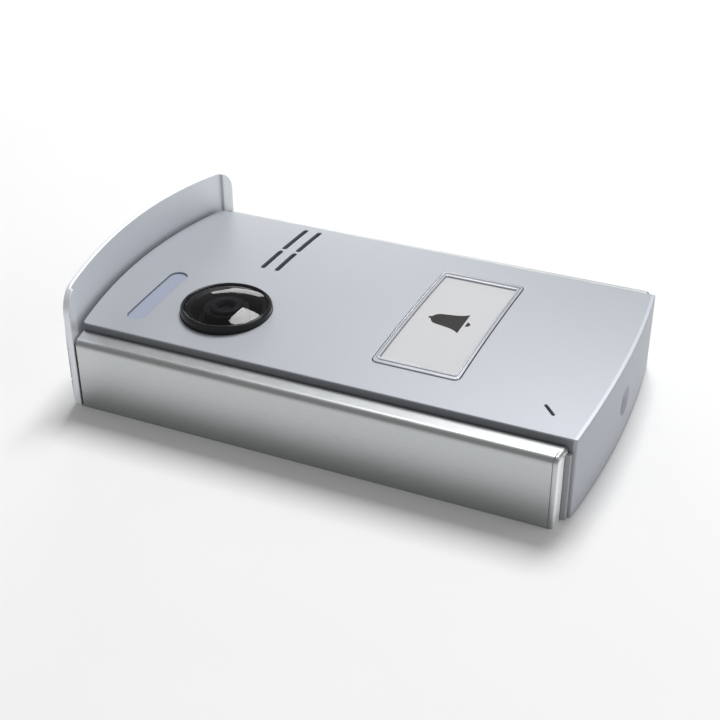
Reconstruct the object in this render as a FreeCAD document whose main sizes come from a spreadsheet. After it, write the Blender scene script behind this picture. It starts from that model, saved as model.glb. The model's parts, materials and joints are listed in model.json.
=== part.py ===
"""Door intercom panel: a crowned front module in a wall box with side rails and a rain hood.

Frame: z = 0 is the wall, +Z comes out of the front, +Y goes up the wall to the hood, +X is to the
right as seen from the front. Millimetres.
"""

import FreeCAD, Part
import math
import os
import re
import Sketcher

Vector = FreeCAD.Vector

SIZES = (
    ("cover_width", 86, "front cover, across"),
    ("cover_top", 81.3, "middle of the cover's top end, from the origin"),
    ("cover_bottom", 80, "middle of the cover's bottom end, from the origin"),
    ("top_arc", 218, "radius of the cover's top end in plan"),
    ("bottom_arc", 350, "radius of the cover's bottom end in plan"),
    ("cover_edge", 25.6, "height of the cover's long edges"),
    ("crown_rise", 1.7, "how much higher the cover's middle is"),
    ("cover_wall", 1.8, "wall of the cover"),
    ("skirt_foot", 2.6, "lower edge of the skirts"),
    ("lip_foot", 0.4, "lower edge of the cover's bottom end wall"),
    ("cover_corner", 1.5, "upper upright corners of the cover"),
    ("cover_corner_low", 0.5, "lower upright corners of the cover"),
    ("cover_softening", 0.35, "rounding of the cover's front edges"),
    ("cover_gap", 0.2, "between the cover's side and the rail's lip"),
    ("rail_width", 7, "side rail, across"),
    ("rail_height", 23.2, "side rail, up from the wall"),
    ("rail_lip", 1.6, "thickness of the rail's lip"),
    ("rail_inset", 2.2, "from the cover's side to the rail's inner wall"),
    ("rail_edge", 2, "rounding of the rail's outer edge"),
    ("rail_skirt", 1.1, "skin of the rail beside the box floor"),
    ("rail_setback", 2, "rail's lower end behind the cover's bottom end"),
    ("rail_top_setback", 0.2, "rail's upper end behind the cover's top end"),
    ("port_radius", 1.05, "screw ports in the rail"),
    ("port_low", 9.2, "height of the lower screw port"),
    ("port_high", 18.9, "height of the upper screw port"),
    ("chamber_width", 2.2, "hollow between the ports, across"),
    ("chamber_height", 5.4, "hollow between the ports, up"),
    ("cap_thickness", 1.6, "rail end cap"),
    ("floor_thickness", 2, "floor of the back box"),
    ("box_wall", 1.4, "end and inner walls of the back box"),
    ("side_wall", 1.2, "outer side walls of the back box"),
    ("side_wall_setback", 1, "side walls' lower ends behind the cover's bottom end"),
    ("side_gap", 0.5, "between the cover's skirt and the side wall"),
    ("tub_gap", 0.4, "between the cover's skirt and the inner tub"),
    ("bottom_gap", 1.9, "between the cover's bottom wall and the tub"),
    ("tub_top", 10.5, "height of the inner tub"),
    ("tab_width", 18, "slotted clamp tab, across"),
    ("tab_top", 14.6, "height of the clamp tab"),
    ("wall_hole", 2.2, "radius of the wall-screw holes"),
    ("wall_hole_across", 60, "between wall-screw holes, across"),
    ("wall_hole_along", 110, "between wall-screw holes, up the wall"),
    ("rail_screw_span", 50, "between rail screws along the rail"),
    ("rail_screw_head", 1.6, "radius of the rail screws' heads"),
    ("rail_screw_shank", 0.9, "radius of the rail screws"),
    ("rail_screw_length", 7, "rail screws"),
    ("cable_y", 22, "cable entry, up from the origin"),
    ("cable_hole", 4, "radius of the grommet's hole"),
    ("grommet_neck", 6, "radius of the grommet in the floor"),
    ("grommet_flange", 8.5, "radius of the grommet's flanges"),
    ("visor_gap", 1.4, "between the cover's top end and the hood"),
    ("visor_thickness", 1.4, "hood"),
    ("visor_step", 0.9, "how much thicker the hood is at its ends"),
    ("visor_height", 41, "height of the hood's middle"),
    ("visor_drop", 2.2, "how much lower the hood is above the cover's sides"),
    ("visor_corner", 7.5, "corners of the hood"),
    ("visor_screw_head", 2.2, "radius of the hood screws' heads"),
    ("visor_screw_sink", 1.5, "hood screws' seats below the outer face"),
    ("visor_screw_length", 10, "hood screws under the head"),
    ("camera_inset", 22.2, "camera's axis from the cover's side"),
    ("camera_from_top", 41.7, "camera's axis from the cover's top end"),
    ("bezel_radius", 14, "camera bezel"),
    ("bezel_rise", 2.1, "bezel's rim above the cover"),
    ("dome_radius", 12.65, "clear dome"),
    ("dome_rise", 2.5, "dome's top above its rim"),
    ("dome_wall", 1, "thickness of the dome"),
    ("barrel_radius", 5.2, "lens barrel"),
    ("barrel_top", 11, "lens barrel above the camera board"),
    ("collar_radius", 7, "collar round the lens barrel"),
    ("lens_radius", 3.6, "front lens"),
    ("lens_rise", 1.1, "front lens, middle above its edge"),
    ("camera_board_width", 24, "camera board"),
    ("small_board", 1.2, "thickness of the camera and light boards"),
    ("ribbon_width", 8, "camera ribbon"),
    ("ribbon_drop", 5, "ribbon's way down, from the camera board's edge"),
    ("ribbon_run", 6.6, "ribbon along the main board to its socket"),
    ("led_from_top", 17.4, "light window from the cover's top end"),
    ("led_length", 30.2, "light window"),
    ("led_width", 6.1, "light window"),
    ("led_sink", 0.6, "diffuser's face below the cover"),
    ("speaker_radius", 17, "loudspeaker"),
    ("slot_width", 1.6, "speaker slots"),
    ("slot_length", 32.8, "speaker slots"),
    ("slot_pitch", 5, "between the two speaker slots"),
    ("slot_bridge", 1.3, "bar across each slot"),
    ("slot_bridge_offset", 1.8, "bar from the slot's middle"),
    ("magnet_radius", 8.4, "loudspeaker magnet"),
    ("cone_radius", 14.8, "loudspeaker cone"),
    ("coil_radius", 5.75, "voice coil"),
    ("mic_inset", 10, "microphone from the cover's side"),
    ("mic_from_bottom", 13.6, "microphone from the cover's bottom end"),
    ("mic_radius", 3, "microphone capsule"),
    ("mic_slot_length", 5.4, "microphone slot"),
    ("mic_slot_width", 0.9, "microphone slot"),
    ("mic_slot_angle", 43, "microphone slot from the panel's width"),
    ("button_from_bottom", 54.45, "call button from the cover's bottom end"),
    ("button_length", 59.5, "call button, across the panel"),
    ("button_width", 26.7, "call button, up the panel"),
    ("button_corner", 1.8, "corners of the call button"),
    ("button_gap", 0.2, "between the button and the cover"),
    ("button_rise", 0.35, "button above the cover"),
    ("border_across", 2.75, "clear border at the label's ends"),
    ("border_along", 1.5, "clear border above and below the label"),
    ("label_corner", 0.6, "corners of the label"),
    ("label_gap", 0.1, "around the label in the button"),
    ("button_skin", 0.7, "clear skin over the label"),
    ("button_lip", 1, "lip under the cover that holds the button"),
    ("button_travel", 0.8, "how far the button goes down"),
    ("label_thickness", 0.3, "label card"),
    ("print_thickness", 0.06, "printed symbol"),
    ("clapper_radius", 1.3, "clapper of the printed bell"),
    ("switch_spacing", 36, "between the two switches"),
    ("plunger_radius", 1.7, "switch plungers"),
    ("spring_inset", 4.45, "button springs from the button's ends"),
    ("spring_radius", 2, "button spring, to the wire's middle"),
    ("spring_wire", 0.25, "radius of the spring's wire"),
    ("chassis_floor", 15, "lower face of the chassis"),
    ("chassis_thickness", 1.6, "chassis plate"),
    ("boss_radius", 2.8, "screw bosses under the cover"),
    ("boss_inset", 6.8, "screw bosses from the cover's side"),
    ("boss_from_top", 9, "upper bosses from the cover's top end"),
    ("boss_middle", 8, "middle bosses, up from the origin"),
    ("boss_from_bottom", 30, "lower bosses from the cover's bottom end"),
    ("board_floor", 12, "lower face of the main board"),
    ("board_thickness", 1.6, "main board"),
    ("board_width", 69, "main board"),
    ("board_from_top", 15.3, "board's edge from the cover's top end"),
    ("board_from_bottom", 16, "board's edge from the cover's bottom end"),
    ("standoff_across", 62, "between standoffs, across"),
    ("standoff_inset", 4.5, "standoffs from the board's ends"),
    ("clamp_height", 12.8, "clamp screw's axis above the wall"),
    ("clamp_shank", 1.75, "radius of the clamp screw"),
    ("clamp_head", 3.5, "radius of the clamp screw's head"),
    ("clamp_length", 9.5, "clamp screw"),
    ("clamp_sink", 1.2, "screw head below the end wall"),
    ("bracket_width", 16, "clamp bracket"),
    ("bracket_thickness", 2, "clamp bracket"),
    ("fit", 0.05, "running clearance"),
    ("clearance", 0.3, "clearance between pieces that pass each other"),
)

# Formulas shared by several pieces.
HALF = "cover_width/2"
PANEL_HALF = "(cover_width/2 + rail_width)"
MIDDLE = "(cover_edge + crown_rise)"
CROWN = "((cover_width^2/4 + crown_rise^2)/(2*crown_rise))"
ROOF = "(cover_edge - cover_wall)"
TOP_CENTRE = "(cover_top - top_arc)"
BOTTOM_CENTRE = "(bottom_arc - cover_bottom)"
CHASSIS_TOP = "(chassis_floor + chassis_thickness)"
SMALL_BOARD_TOP = f"({CHASSIS_TOP} + small_board)"
BOARD_TOP = "(board_floor + board_thickness)"
CAMERA_X = "(camera_inset - cover_width/2)"
CAMERA_Y = "(cover_top - camera_from_top)"
CAMERA_FACE = f"({MIDDLE} - {CROWN} + sqrt({CROWN}^2 - {CAMERA_X}^2))"
LED_Y = "(cover_top - led_from_top)"
SPEAKER_X = f"({HALF} - cover_wall - 0.5 - speaker_radius)"
MIC_X = f"(mic_inset - {HALF})"
MIC_Y = "(mic_from_bottom - cover_bottom)"
BUTTON_Y = "(button_from_bottom - cover_bottom)"
PORT_X = f"({PANEL_HALF} - (rail_width - rail_inset)/2)"
VISOR_ARC = "(top_arc + visor_gap + visor_thickness)"
VISOR_SEAT = f"({TOP_CENTRE} + sqrt({VISOR_ARC}^2 - {PORT_X}^2) - visor_screw_sink)"
FLOOR_HALF = f"({PANEL_HALF} - rail_skirt - cover_gap)"
RAIL_SCREW_X = f"({FLOOR_HALF} - rail_screw_head - 1.5*clearance)"
TUB_BOTTOM = "(cover_wall + bottom_gap)"
CLAMP_Y = "-cover_bottom"
BRACKET_Y = f"(-cover_bottom + {TUB_BOTTOM} + box_wall + clearance)"
BRACKET_SCREW_Y = f"({BRACKET_Y} + 6.5)"
RIBBON_SOCKET_Y = f"({CAMERA_Y} - camera_board_width/2 - ribbon_drop - ribbon_run - 2)"
SWITCH_TOP = f"({BOARD_TOP} + 5.9)"
LEAD_SOCKET_X = f"({SPEAKER_X} - 10)"
LEAD_SOCKET_Y = f"({CAMERA_Y} - speaker_radius - 4.8)"

doc = FreeCAD.newDocument("DoorPanel")
sheet = doc.addObject("Spreadsheet::Sheet", "Sizes")
for row, (alias, value, note) in enumerate(SIZES, 1):
    sheet.set(f"A{row}", str(value))
    sheet.setAlias(f"A{row}", alias)
    sheet.set(f"B{row}", note)
doc.recompute()
ALIASES = {alias for alias, _, _ in SIZES}
FAR = ("-300", "300")
QUARTERS = ((-1, -1), (1, -1), (1, 1), (-1, 1))
nodes = []


def bound(formula):
    """The formula with every size looked up in the sheet."""
    return re.sub(
        r"[a-z][a-z_0-9]*", lambda word: f"Sizes.{word[0]}" if word[0] in ALIASES else word[0], formula
    )


def number(formula):
    return float(sheet.evalExpression(bound(formula)))


def bind(piece, **formulas):
    for name, formula in formulas.items():
        piece.setExpression(name, bound(formula))
    return piece


def place(piece, x="0", y="0", z="0"):
    for axis, formula in zip("xyz", (x, y, z)):
        piece.setExpression(f"Placement.Base.{axis}", bound(formula))
    return piece


def lay_along_y(piece):
    """Turns a piece made along +Z so that it runs along +Y."""
    piece.Placement = FreeCAD.Placement(Vector(), FreeCAD.Rotation(Vector(1, 0, 0), -90))
    return piece


def node(piece):
    nodes.append(piece)
    return piece


# Solids made from Part primitives.

def block(name, x, y, z):
    """A box between two planes on each axis."""
    piece = doc.addObject("Part::Box", name)
    sides = [f"({high}) - ({low})" for low, high in (x, y, z)]
    bind(piece, Length=sides[0], Width=sides[1], Height=sides[2])
    return place(piece, x[0], y[0], z[0])


def centred_block(name, length, width, x, y, z):
    return block(
        name,
        (f"{x} - ({length})/2", f"{x} + ({length})/2"),
        (f"{y} - ({width})/2", f"{y} + ({width})/2"),
        z,
    )


def post(name, radius, x, y, z):
    """A cylinder along Z between two heights."""
    piece = doc.addObject("Part::Cylinder", name)
    bind(piece, Radius=radius, Height=f"({z[1]}) - ({z[0]})")
    return place(piece, x, y, z[0])


def rod(name, radius, x, y, z):
    """A cylinder along Y between two places."""
    piece = lay_along_y(doc.addObject("Part::Cylinder", name))
    bind(piece, Radius=radius, Height=f"({y[1]}) - ({y[0]})")
    return place(piece, x, y[0], z)


def fuse(name, *pieces):
    piece = doc.addObject("Part::MultiFuse", name)
    piece.Shapes = list(pieces)
    return piece


def group(name, *pieces):
    """Separate solids kept in one object."""
    piece = doc.addObject("Part::Compound", name)
    piece.Links = list(pieces)
    return piece


def cut(name, base, *tools):
    piece = doc.addObject("Part::Cut", name)
    piece.Base = base
    piece.Tool = tools[0] if len(tools) == 1 else fuse(f"{name}_cutters", *tools)
    return piece


def common(name, first, second):
    piece = doc.addObject("Part::Common", name)
    piece.Base = first
    piece.Tool = second
    return piece


def slot(name, length, width, x, y, z):
    """A bar with round ends, lying along X."""
    half = f"(({length}) - ({width}))/2"
    return fuse(
        name,
        block(
            f"{name}_bar",
            (f"{x} - {half}", f"{x} + {half}"),
            (f"{y} - ({width})/2", f"{y} + ({width})/2"),
            z,
        ),
        post(f"{name}_left", f"({width})/2", f"{x} - {half}", y, z),
        post(f"{name}_right", f"({width})/2", f"{x} + {half}", y, z),
    )


def between_ends(name, half, top_inset, bottom_inset, z):
    """A block as wide as asked whose ends follow the cover's two end arcs, each moved in by its inset."""
    length = ("-cover_bottom - 20", "cover_top + 20")
    strip = block(f"{name}_strip", (f"-({half})", half), length, z)
    top = post(f"{name}_top", f"top_arc - ({top_inset})", "0", TOP_CENTRE, z)
    bottom = post(f"{name}_bottom", f"bottom_arc - ({bottom_inset})", "0", BOTTOM_CENTRE, z)
    return common(name, common(f"{name}_upper", strip, top), bottom)


def under_crown(name, offset):
    """Everything below the cover's crowned face moved up by the offset."""
    reach = ("-cover_bottom - 20", "cover_top + 20")
    return rod(name, f"{CROWN} + ({offset})", "0", reach, f"{MIDDLE} - {CROWN}")


def rounded_edges(name, base, radius_of):
    """Rounds each edge for which radius_of gives a radius."""
    doc.recompute()
    chosen = [(i, radius_of(edge)) for i, edge in enumerate(base.Shape.Edges, 1)]
    piece = doc.addObject("Part::Fillet", name)
    piece.Base = base
    piece.Edges = [(i, radius, radius) for i, radius in chosen if radius]
    return piece


# Solids made as PartDesign bodies.

def new_sketch(body, role):
    sketch = body.newObject("Sketcher::SketchObject", f"{body.Name}_{role[:2].lower()}_sketch")
    plane = next(item for item in body.Origin.OriginFeatures if item.Role == role)
    sketch.AttachmentSupport = [(plane, "")]
    sketch.MapMode = "FlatFace"
    return sketch


def add_outline(sketch, corners):
    """A closed outline. A corner is (x, y), or (x, y, radius, turn) where an arc leads to it.

    turn is "left" for an arc whose centre is on the left of the way along it, or "right".
    """
    first = sketch.GeometryCount
    spots = [Vector(number(corner[0]), number(corner[1]), 0) for corner in corners]
    starts = []
    for i, corner in enumerate(corners):
        here, there = spots[i - 1], spots[i]
        if len(corner) == 2:
            index = sketch.addGeometry(Part.LineSegment(here, there))
            starts.append((index, 1, 2))
            continue
        radius, turn = number(corner[2]), corner[3]
        way = there - here
        side = Vector(-way.y, way.x, 0) / way.Length * (1 if turn == "left" else -1)
        centre = (here + there) / 2 + side * math.sqrt(max(radius ** 2 - way.Length ** 2 / 4, 0))
        begin, end = (here, there) if turn == "left" else (there, here)
        angles = [math.atan2(spot.y - centre.y, spot.x - centre.x) for spot in (begin, end)]
        circle = Part.Circle(centre, Vector(0, 0, 1), radius)
        index = sketch.addGeometry(Part.ArcOfCircle(circle, *angles))
        pin = sketch.addConstraint(Sketcher.Constraint("Radius", index, radius))
        sketch.setExpression(f"Constraints[{pin}]", bound(corner[2]))
        starts.append((index, 1, 2) if turn == "left" else (index, 2, 1))
    for i, (index, start, end) in enumerate(starts):
        following, its_start, _ = starts[(i + 1) % len(starts)]
        sketch.addConstraint(Sketcher.Constraint("Coincident", index, end, following, its_start))
        for kind, formula in (("DistanceX", corners[i][0]), ("DistanceY", corners[i][1])):
            pin = sketch.addConstraint(Sketcher.Constraint(kind, index, end, number(formula)))
            sketch.setExpression(f"Constraints[{pin}]", bound(formula))


def add_circle(sketch, x, y, radius):
    spot = Vector(number(x), number(y), 0)
    index = sketch.addGeometry(Part.Circle(spot, Vector(0, 0, 1), number(radius)))
    for kind, formula in (("DistanceX", x), ("DistanceY", y)):
        pin = sketch.addConstraint(Sketcher.Constraint(kind, index, 3, number(formula)))
        sketch.setExpression(f"Constraints[{pin}]", bound(formula))
    pin = sketch.addConstraint(Sketcher.Constraint("Radius", index, number(radius)))
    sketch.setExpression(f"Constraints[{pin}]", bound(radius))


def new_body(name):
    return doc.addObject("PartDesign::Body", name)


def padded(name, role, corners, length, holes=(), circles=()):
    """A body padded both ways from an origin plane."""
    body = new_body(name)
    sketch = new_sketch(body, role)
    add_outline(sketch, corners)
    for hole in holes:
        add_outline(sketch, hole)
    for circle in circles:
        add_circle(sketch, *circle)
    pad = body.newObject("PartDesign::Pad", f"{name}_pad")
    pad.Profile = sketch
    pad.SideType = "Symmetric"
    bind(pad, Length=length)
    body.Tip = pad
    return body


def turned(name, corners, x="0", y="0", z="0"):
    """A body turned about a line along Z. A corner is (distance from the line, height)."""
    body = new_body(name)
    sketch = new_sketch(body, "XZ_Plane")
    add_outline(sketch, corners)
    spin = body.newObject("PartDesign::Revolution", f"{name}_turn")
    spin.Profile = sketch
    spin.ReferenceAxis = (sketch, ["V_Axis"])
    spin.Angle = 360
    body.Tip = spin
    return place(body, x, y, z)


def ring(name, inner, outer, z, x, y):
    corners = ((inner, z[0]), (outer, z[0]), (outer, z[1]), (inner, z[1]))
    return turned(name, corners, x, y)


def bent_path(spots, bend):
    """Straight runs through spots, joined by arcs of the bend radius."""
    edges, last = [], spots[0]
    for before, corner, after in zip(spots, spots[1:], spots[2:]):
        into, out = (corner - before).normalize(), (after - corner).normalize()
        reach = bend * math.tan(into.getAngle(out) / 2)
        begin, end = corner - into * reach, corner + out * reach
        inward = (out - into).normalize()
        middle = corner + inward * (math.hypot(bend, reach) - bend)
        edges += [Part.LineSegment(last, begin).toShape(), Part.Arc(begin, middle, end).toShape()]
        last = end
    edges.append(Part.LineSegment(last, spots[-1]).toShape())
    return Part.Wire(edges)


def tube(spots, radius, bend):
    """A round wire through spots."""
    start = Part.Wire(Part.Circle(spots[0], spots[1] - spots[0], radius).toShape())
    return bent_path(spots, bend).makePipeShell([start], True, False)


def shaped(name, shape):
    piece = doc.addObject("Part::Feature", name)
    piece.Shape = shape
    return piece


def corners_of(half_x, ys):
    return [(x, y) for x in (f"-({half_x})", half_x) for y in ys]


# Wall box.

def make_back_box():
    top_inset, walls_top = "rail_top_setback", "rail_height - rail_lip - cover_gap"
    floor = between_ends("floor", FLOOR_HALF, top_inset, TUB_BOTTOM, ("0", "floor_thickness"))
    outside = f"{HALF} + side_gap + side_wall"
    sides = cut(
        "side_walls",
        between_ends("side_walls_outer", outside, top_inset, "side_wall_setback", ("0", walls_top)),
        block(
            "side_walls_inner",
            (f"-{HALF} - side_gap", f"{HALF} + side_gap"),
            FAR,
            ("-1", f"{walls_top} + 1"),
        ),
    )
    tub_half = f"{HALF} - cover_wall - tub_gap"
    tub_inset = "cover_wall + tub_gap"
    walls = ("0", "tab_top")
    ring_walls = cut(
        "tub_ring",
        between_ends("tub_outer", tub_half, tub_inset, TUB_BOTTOM, walls),
        between_ends(
            "tub_inner",
            f"{tub_half} - box_wall",
            f"{tub_inset} + box_wall",
            f"{TUB_BOTTOM} + box_wall",
            ("-1", "tab_top + 1"),
        ),
    )
    low = block("tub_low", FAR, FAR, ("0", "tub_top"))
    tab = block("tab_zone", ("-tab_width/2", "tab_width/2"), ("-cover_bottom", "0"), ("0", "tab_top"))
    tub = common("tub", ring_walls, fuse("tub_zone", low, tab))
    body = fuse("box_body", floor, sides, tub)

    slot_half, through = "(clamp_shank + 1.5*clearance)", ("-cover_bottom", "-cover_bottom + 20")
    tools = [
        block("clamp_slot", (f"-{slot_half}", slot_half), through, ("clamp_height", "tab_top + 1")),
        rod("clamp_slot_foot", slot_half, "0", through, "clamp_height"),
        post("cable_bore", "grommet_neck + 0.1", "0", "cable_y", ("-1", "5")),
        post("cable_recess", "grommet_flange + 0.3", "0", "cable_y", ("-1", "floor_thickness/2")),
        turned(
            "knock_out",
            (("7.4", "-1"), ("8.2", "-1"), ("8.2", "0.7"), ("7.4", "0.7")),
            "0",
            "-cable_y - 14",
        ),
    ]
    for i, (x, y) in enumerate(
        corners_of("wall_hole_across/2", ("-wall_hole_along/2", "wall_hole_along/2"))
    ):
        tools.append(post(f"wall_hole_{i}", "wall_hole", x, y, ("-1", "5")))
    mouth, hole = "(rail_screw_head + clearance)", "(rail_screw_shank + clearance)"
    section = (
        ("0", "-1"), (mouth, "-1"), (mouth, "0"), (hole, f"{mouth} - {hole}"), (hole, "6"), ("0", "6")
    )
    for i, (x, y) in enumerate(rail_screw_places()):
        tools.append(turned(f"rail_screw_hole_{i}", section, x, y))
    node(cut("back_box", body, *tools))


def rail_screw_places():
    return corners_of(RAIL_SCREW_X, ("-rail_screw_span", "0", "rail_screw_span"))


def rail_section(side, full):
    """The rail's section seen along it: full is the end cap's outline, which reaches down to the wall."""
    inner, lip = f"({HALF} + rail_inset)", f"({HALF} + cover_gap)"
    under_lip = "rail_height - rail_lip"
    corners = [
        (lip, under_lip),
        (lip, "rail_height"),
        (f"{PANEL_HALF} - rail_edge", "rail_height"),
        (PANEL_HALF, "rail_height - rail_edge", "rail_edge", "right"),
        (PANEL_HALF, "0"),
    ]
    if full:
        corners.append((inner, "0"))
    else:
        skin, foot = f"{PANEL_HALF} - rail_skirt", "floor_thickness + 0.1"
        corners += [(skin, "0"), (skin, foot), (inner, foot)]
    corners.append((inner, under_lip))
    if side > 0:
        return corners
    return mirrored(corners)


def mirrored(corners):
    """The outline on the other side of the middle, where each arc turns the other way."""
    other = {"left": "right", "right": "left"}
    return [(f"-({x})", y, *([arc[0], other[arc[1]]] if arc else [])) for x, y, *arc in corners]


def make_rail(name, side):
    x = f"{side}*{PORT_X}"
    section = rail_section(side, False)
    between = "(port_low + port_high)/2"
    hollow = [(f"{x} + {a}*chamber_width/2", f"{between} + {b}*chamber_height/2") for a, b in QUARTERS]
    ports = [(x, height, "port_radius") for height in ("port_low", "port_high")]
    bar = padded(f"{name}_bar", "XZ_Plane", section, "2*(cover_top + cover_bottom)", [hollow], ports)
    ends = between_ends(
        f"{name}_ends", f"{PANEL_HALF} + 1", "rail_top_setback", "rail_setback + cap_thickness", ("-1", "40")
    )
    depth = ("0", "rail_screw_length + 0.1")
    bores = [
        post(f"{name}_bore_{i}", "rail_screw_shank + fit", x, y, depth)
        for i, (x, y) in enumerate(rail_screw_places())
    ]
    node(cut(name, common(f"{name}_cut", bar, ends), *bores))


def make_end_caps():
    caps = []
    for side in (-1, 1):
        bar = padded(
            f"cap_bar_{side + 1}", "XZ_Plane", rail_section(side, True), "2*(cover_top + cover_bottom)"
        )
        outer = between_ends(
            f"cap_outer_{side + 1}", f"{PANEL_HALF} + 1", "20", "rail_setback", ("-1", "40")
        )
        inner = post(
            f"cap_inner_{side + 1}", "bottom_arc - rail_setback - cap_thickness", "0", BOTTOM_CENTRE, (
                "-2", "41"
            )
        )
        plate = cut(f"cap_plate_{side + 1}", common(f"cap_slice_{side + 1}", bar, outer), inner)
        reach = ("-cover_bottom + rail_setback + cap_thickness + 2.5", "-cover_bottom + rail_setback + 10")
        pins = [
            rod(f"cap_pin_{side + 1}_{height}", "port_radius - fit", f"{side}*{PORT_X}", reach, height)
            for height in ("port_low", "port_high")
        ]
        caps.append(fuse(f"cap_{side + 1}", plate, *pins))
    node(group("bottom_end_caps", *caps))


def make_visor():
    height = ("0", "60")
    outer = post("visor_outer", VISOR_ARC, "0", TOP_CENTRE, height)
    upper = block(
        "visor_upper", (f"-{PANEL_HALF}", PANEL_HALF), ("cover_top - 20", "cover_top + 20"), height
    )
    solid = common("visor_solid", upper, outer)
    middle = post("visor_inside", "top_arc + visor_gap", "0", TOP_CENTRE, ("-1", "61"))
    thin_half = f"({HALF} + rail_inset)"
    narrow = block("visor_middle_zone", (f"-{thin_half}", thin_half), ("-10", "200"), ("-2", "62"))
    inside = fuse(
        "visor_hollow",
        common("visor_hollow_middle", middle, narrow),
        post("visor_hollow_ends", "top_arc + visor_gap - visor_step", "0", TOP_CENTRE, ("-3", "63")),
    )
    shell = cut("visor_shell", solid, inside)
    radius = f"(({HALF})^2 + visor_drop^2)/(2*visor_drop)"
    shoulder = f"visor_height - ({radius}) + sqrt(({radius})^2 - {PANEL_HALF}^2)"
    shape = padded(
        "visor_outline",
        "XZ_Plane",
        [
            (f"-{PANEL_HALF}", "0"),
            (PANEL_HALF, "0"),
            (PANEL_HALF, shoulder),
            (f"-{PANEL_HALF}", shoulder, radius, "left"),
        ],
        "3*cover_top",
    )
    doc.recompute()
    edges = [
        f"Edge{i}"
        for i, edge in enumerate(shape.Shape.Edges, 1)
        if edge.BoundBox.ZMin > number(
            shoulder
        ) - 0.01 and edge.BoundBox.YLength > 10 and edge.BoundBox.XLength < 0.01
    ]
    pad = shape.Tip
    round_off = shape.newObject("PartDesign::Fillet", "visor_corners")
    round_off.Base = (pad, edges)
    bind(round_off, Radius="visor_corner")
    shape.Tip = round_off
    trimmed = common("visor_trimmed", shell, shape)
    holes, beyond = [], "cover_top + 20"
    for i, (x, height) in enumerate(visor_screw_places()):
        holes.append(
            rod(f"visor_hole_{i}", "port_radius + clearance", x, ("cover_top - 20", beyond), height)
        )
        holes.append(
            rod(f"visor_seat_{i}", "visor_screw_head + cover_gap", x, (VISOR_SEAT, beyond), height)
        )
    node(cut("visor", trimmed, *holes))


def visor_screw_places():
    return [(f"{side}*{PORT_X}", height) for side in (-1, 1) for height in ("port_low", "port_high")]


def make_visor_screws():
    screws, face = [], (f"{VISOR_SEAT} + 0.4", f"{VISOR_SEAT} + 2")
    for i, (x, height) in enumerate(visor_screw_places()):
        head = rod(
            f"visor_screw_head_{i}", "visor_screw_head", x, (VISOR_SEAT, f"{VISOR_SEAT} + 1"), height
        )
        shank = rod(
            f"visor_screw_shank_{i}", "port_radius - fit", x, (
                f"{VISOR_SEAT} - visor_screw_length", VISOR_SEAT
            ), height
        )
        wide, narrow = [
            [(f"{at} - {half}", f"{at} + {half}") for at in (x, height)] for half in (1.3, 0.25)
        ]
        cross = fuse(
            f"visor_screw_cross_{i}",
            block(f"visor_screw_across_{i}", wide[0], face, narrow[1]),
            block(f"visor_screw_upright_{i}", narrow[0], face, wide[1]),
        )
        screws.append(cut(f"visor_screw_{i}", fuse(f"visor_screw_blank_{i}", head, shank), cross))
    node(group("visor_screws", *screws))


def make_visor_gasket():
    pads = []
    for i, side in enumerate((-1, 1)):
        edges = (f"{side}*({HALF} + side_gap)", f"{side}*({PANEL_HALF} - side_gap)")
        across = edges if side > 0 else edges[::-1]
        tall = ("side_gap", "rail_height - rail_lip")
        zone = block(f"pad_zone_{i}", across, ("cover_top - 20", "cover_top + 20"), tall)
        outer = post(
            f"pad_outer_{i}",
            "top_arc + visor_gap - visor_step - 0.02",
            "0",
            TOP_CENTRE,
            ("0", "rail_height"),
        )
        inner = post(
            f"pad_inner_{i}", "top_arc - rail_top_setback + 0.02", "0", TOP_CENTRE, ("-1", "rail_height + 1")
        )
        holes = [
            rod(
                f"pad_hole_{i}_{height}",
                "port_radius + fit",
                f"{side}*{PORT_X}",
                ("cover_top - 20", "cover_top"),
                height,
            )
            for height in ("port_low", "port_high")
        ]
        pads.append(cut(f"pad_{i}", common(f"pad_slice_{i}", zone, outer), inner, *holes))
    node(group("visor_gasket", *pads))


def make_rail_screws():
    head, shank, sunk = "rail_screw_head", "rail_screw_shank", "clearance"
    cone_foot = f"{sunk} + {head} - {shank}"
    section = (
        ("0", sunk), (head, sunk), (shank, cone_foot), (shank, "rail_screw_length"),
        ("0", "rail_screw_length"),
    )
    screws = []
    for i, (x, y) in enumerate(rail_screw_places()):
        blank = turned(f"rail_screw_blank_{i}", section, x, y)
        cross = fuse(
            f"rail_screw_cross_{i}",
            centred_block(f"rail_screw_across_{i}", "1.7", "0.45", x, y, ("0", "0.8")),
            centred_block(f"rail_screw_upright_{i}", "0.45", "1.7", x, y, ("0", "0.8")),
        )
        screws.append(cut(f"rail_screw_{i}", blank, cross))
    node(group("rail_screws", *screws))


def make_cable_grommet():
    foot, ledge = "0.1", "floor_thickness/2 - 0.03"
    section = (
        ("cable_hole", foot), ("grommet_flange", foot), ("grommet_flange", ledge), ("grommet_neck", ledge),
        ("grommet_neck", "floor_thickness + 0.03"), ("grommet_flange", "floor_thickness + 0.03"),
        ("grommet_flange - 0.6", "floor_thickness + 1.3"), ("cable_hole + 0.9", "floor_thickness + 1.7"),
        ("cable_hole", "floor_thickness + 1.7"),
    )
    node(turned("cable_grommet", section, "0", "cable_y"))


# Front cover.

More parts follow.
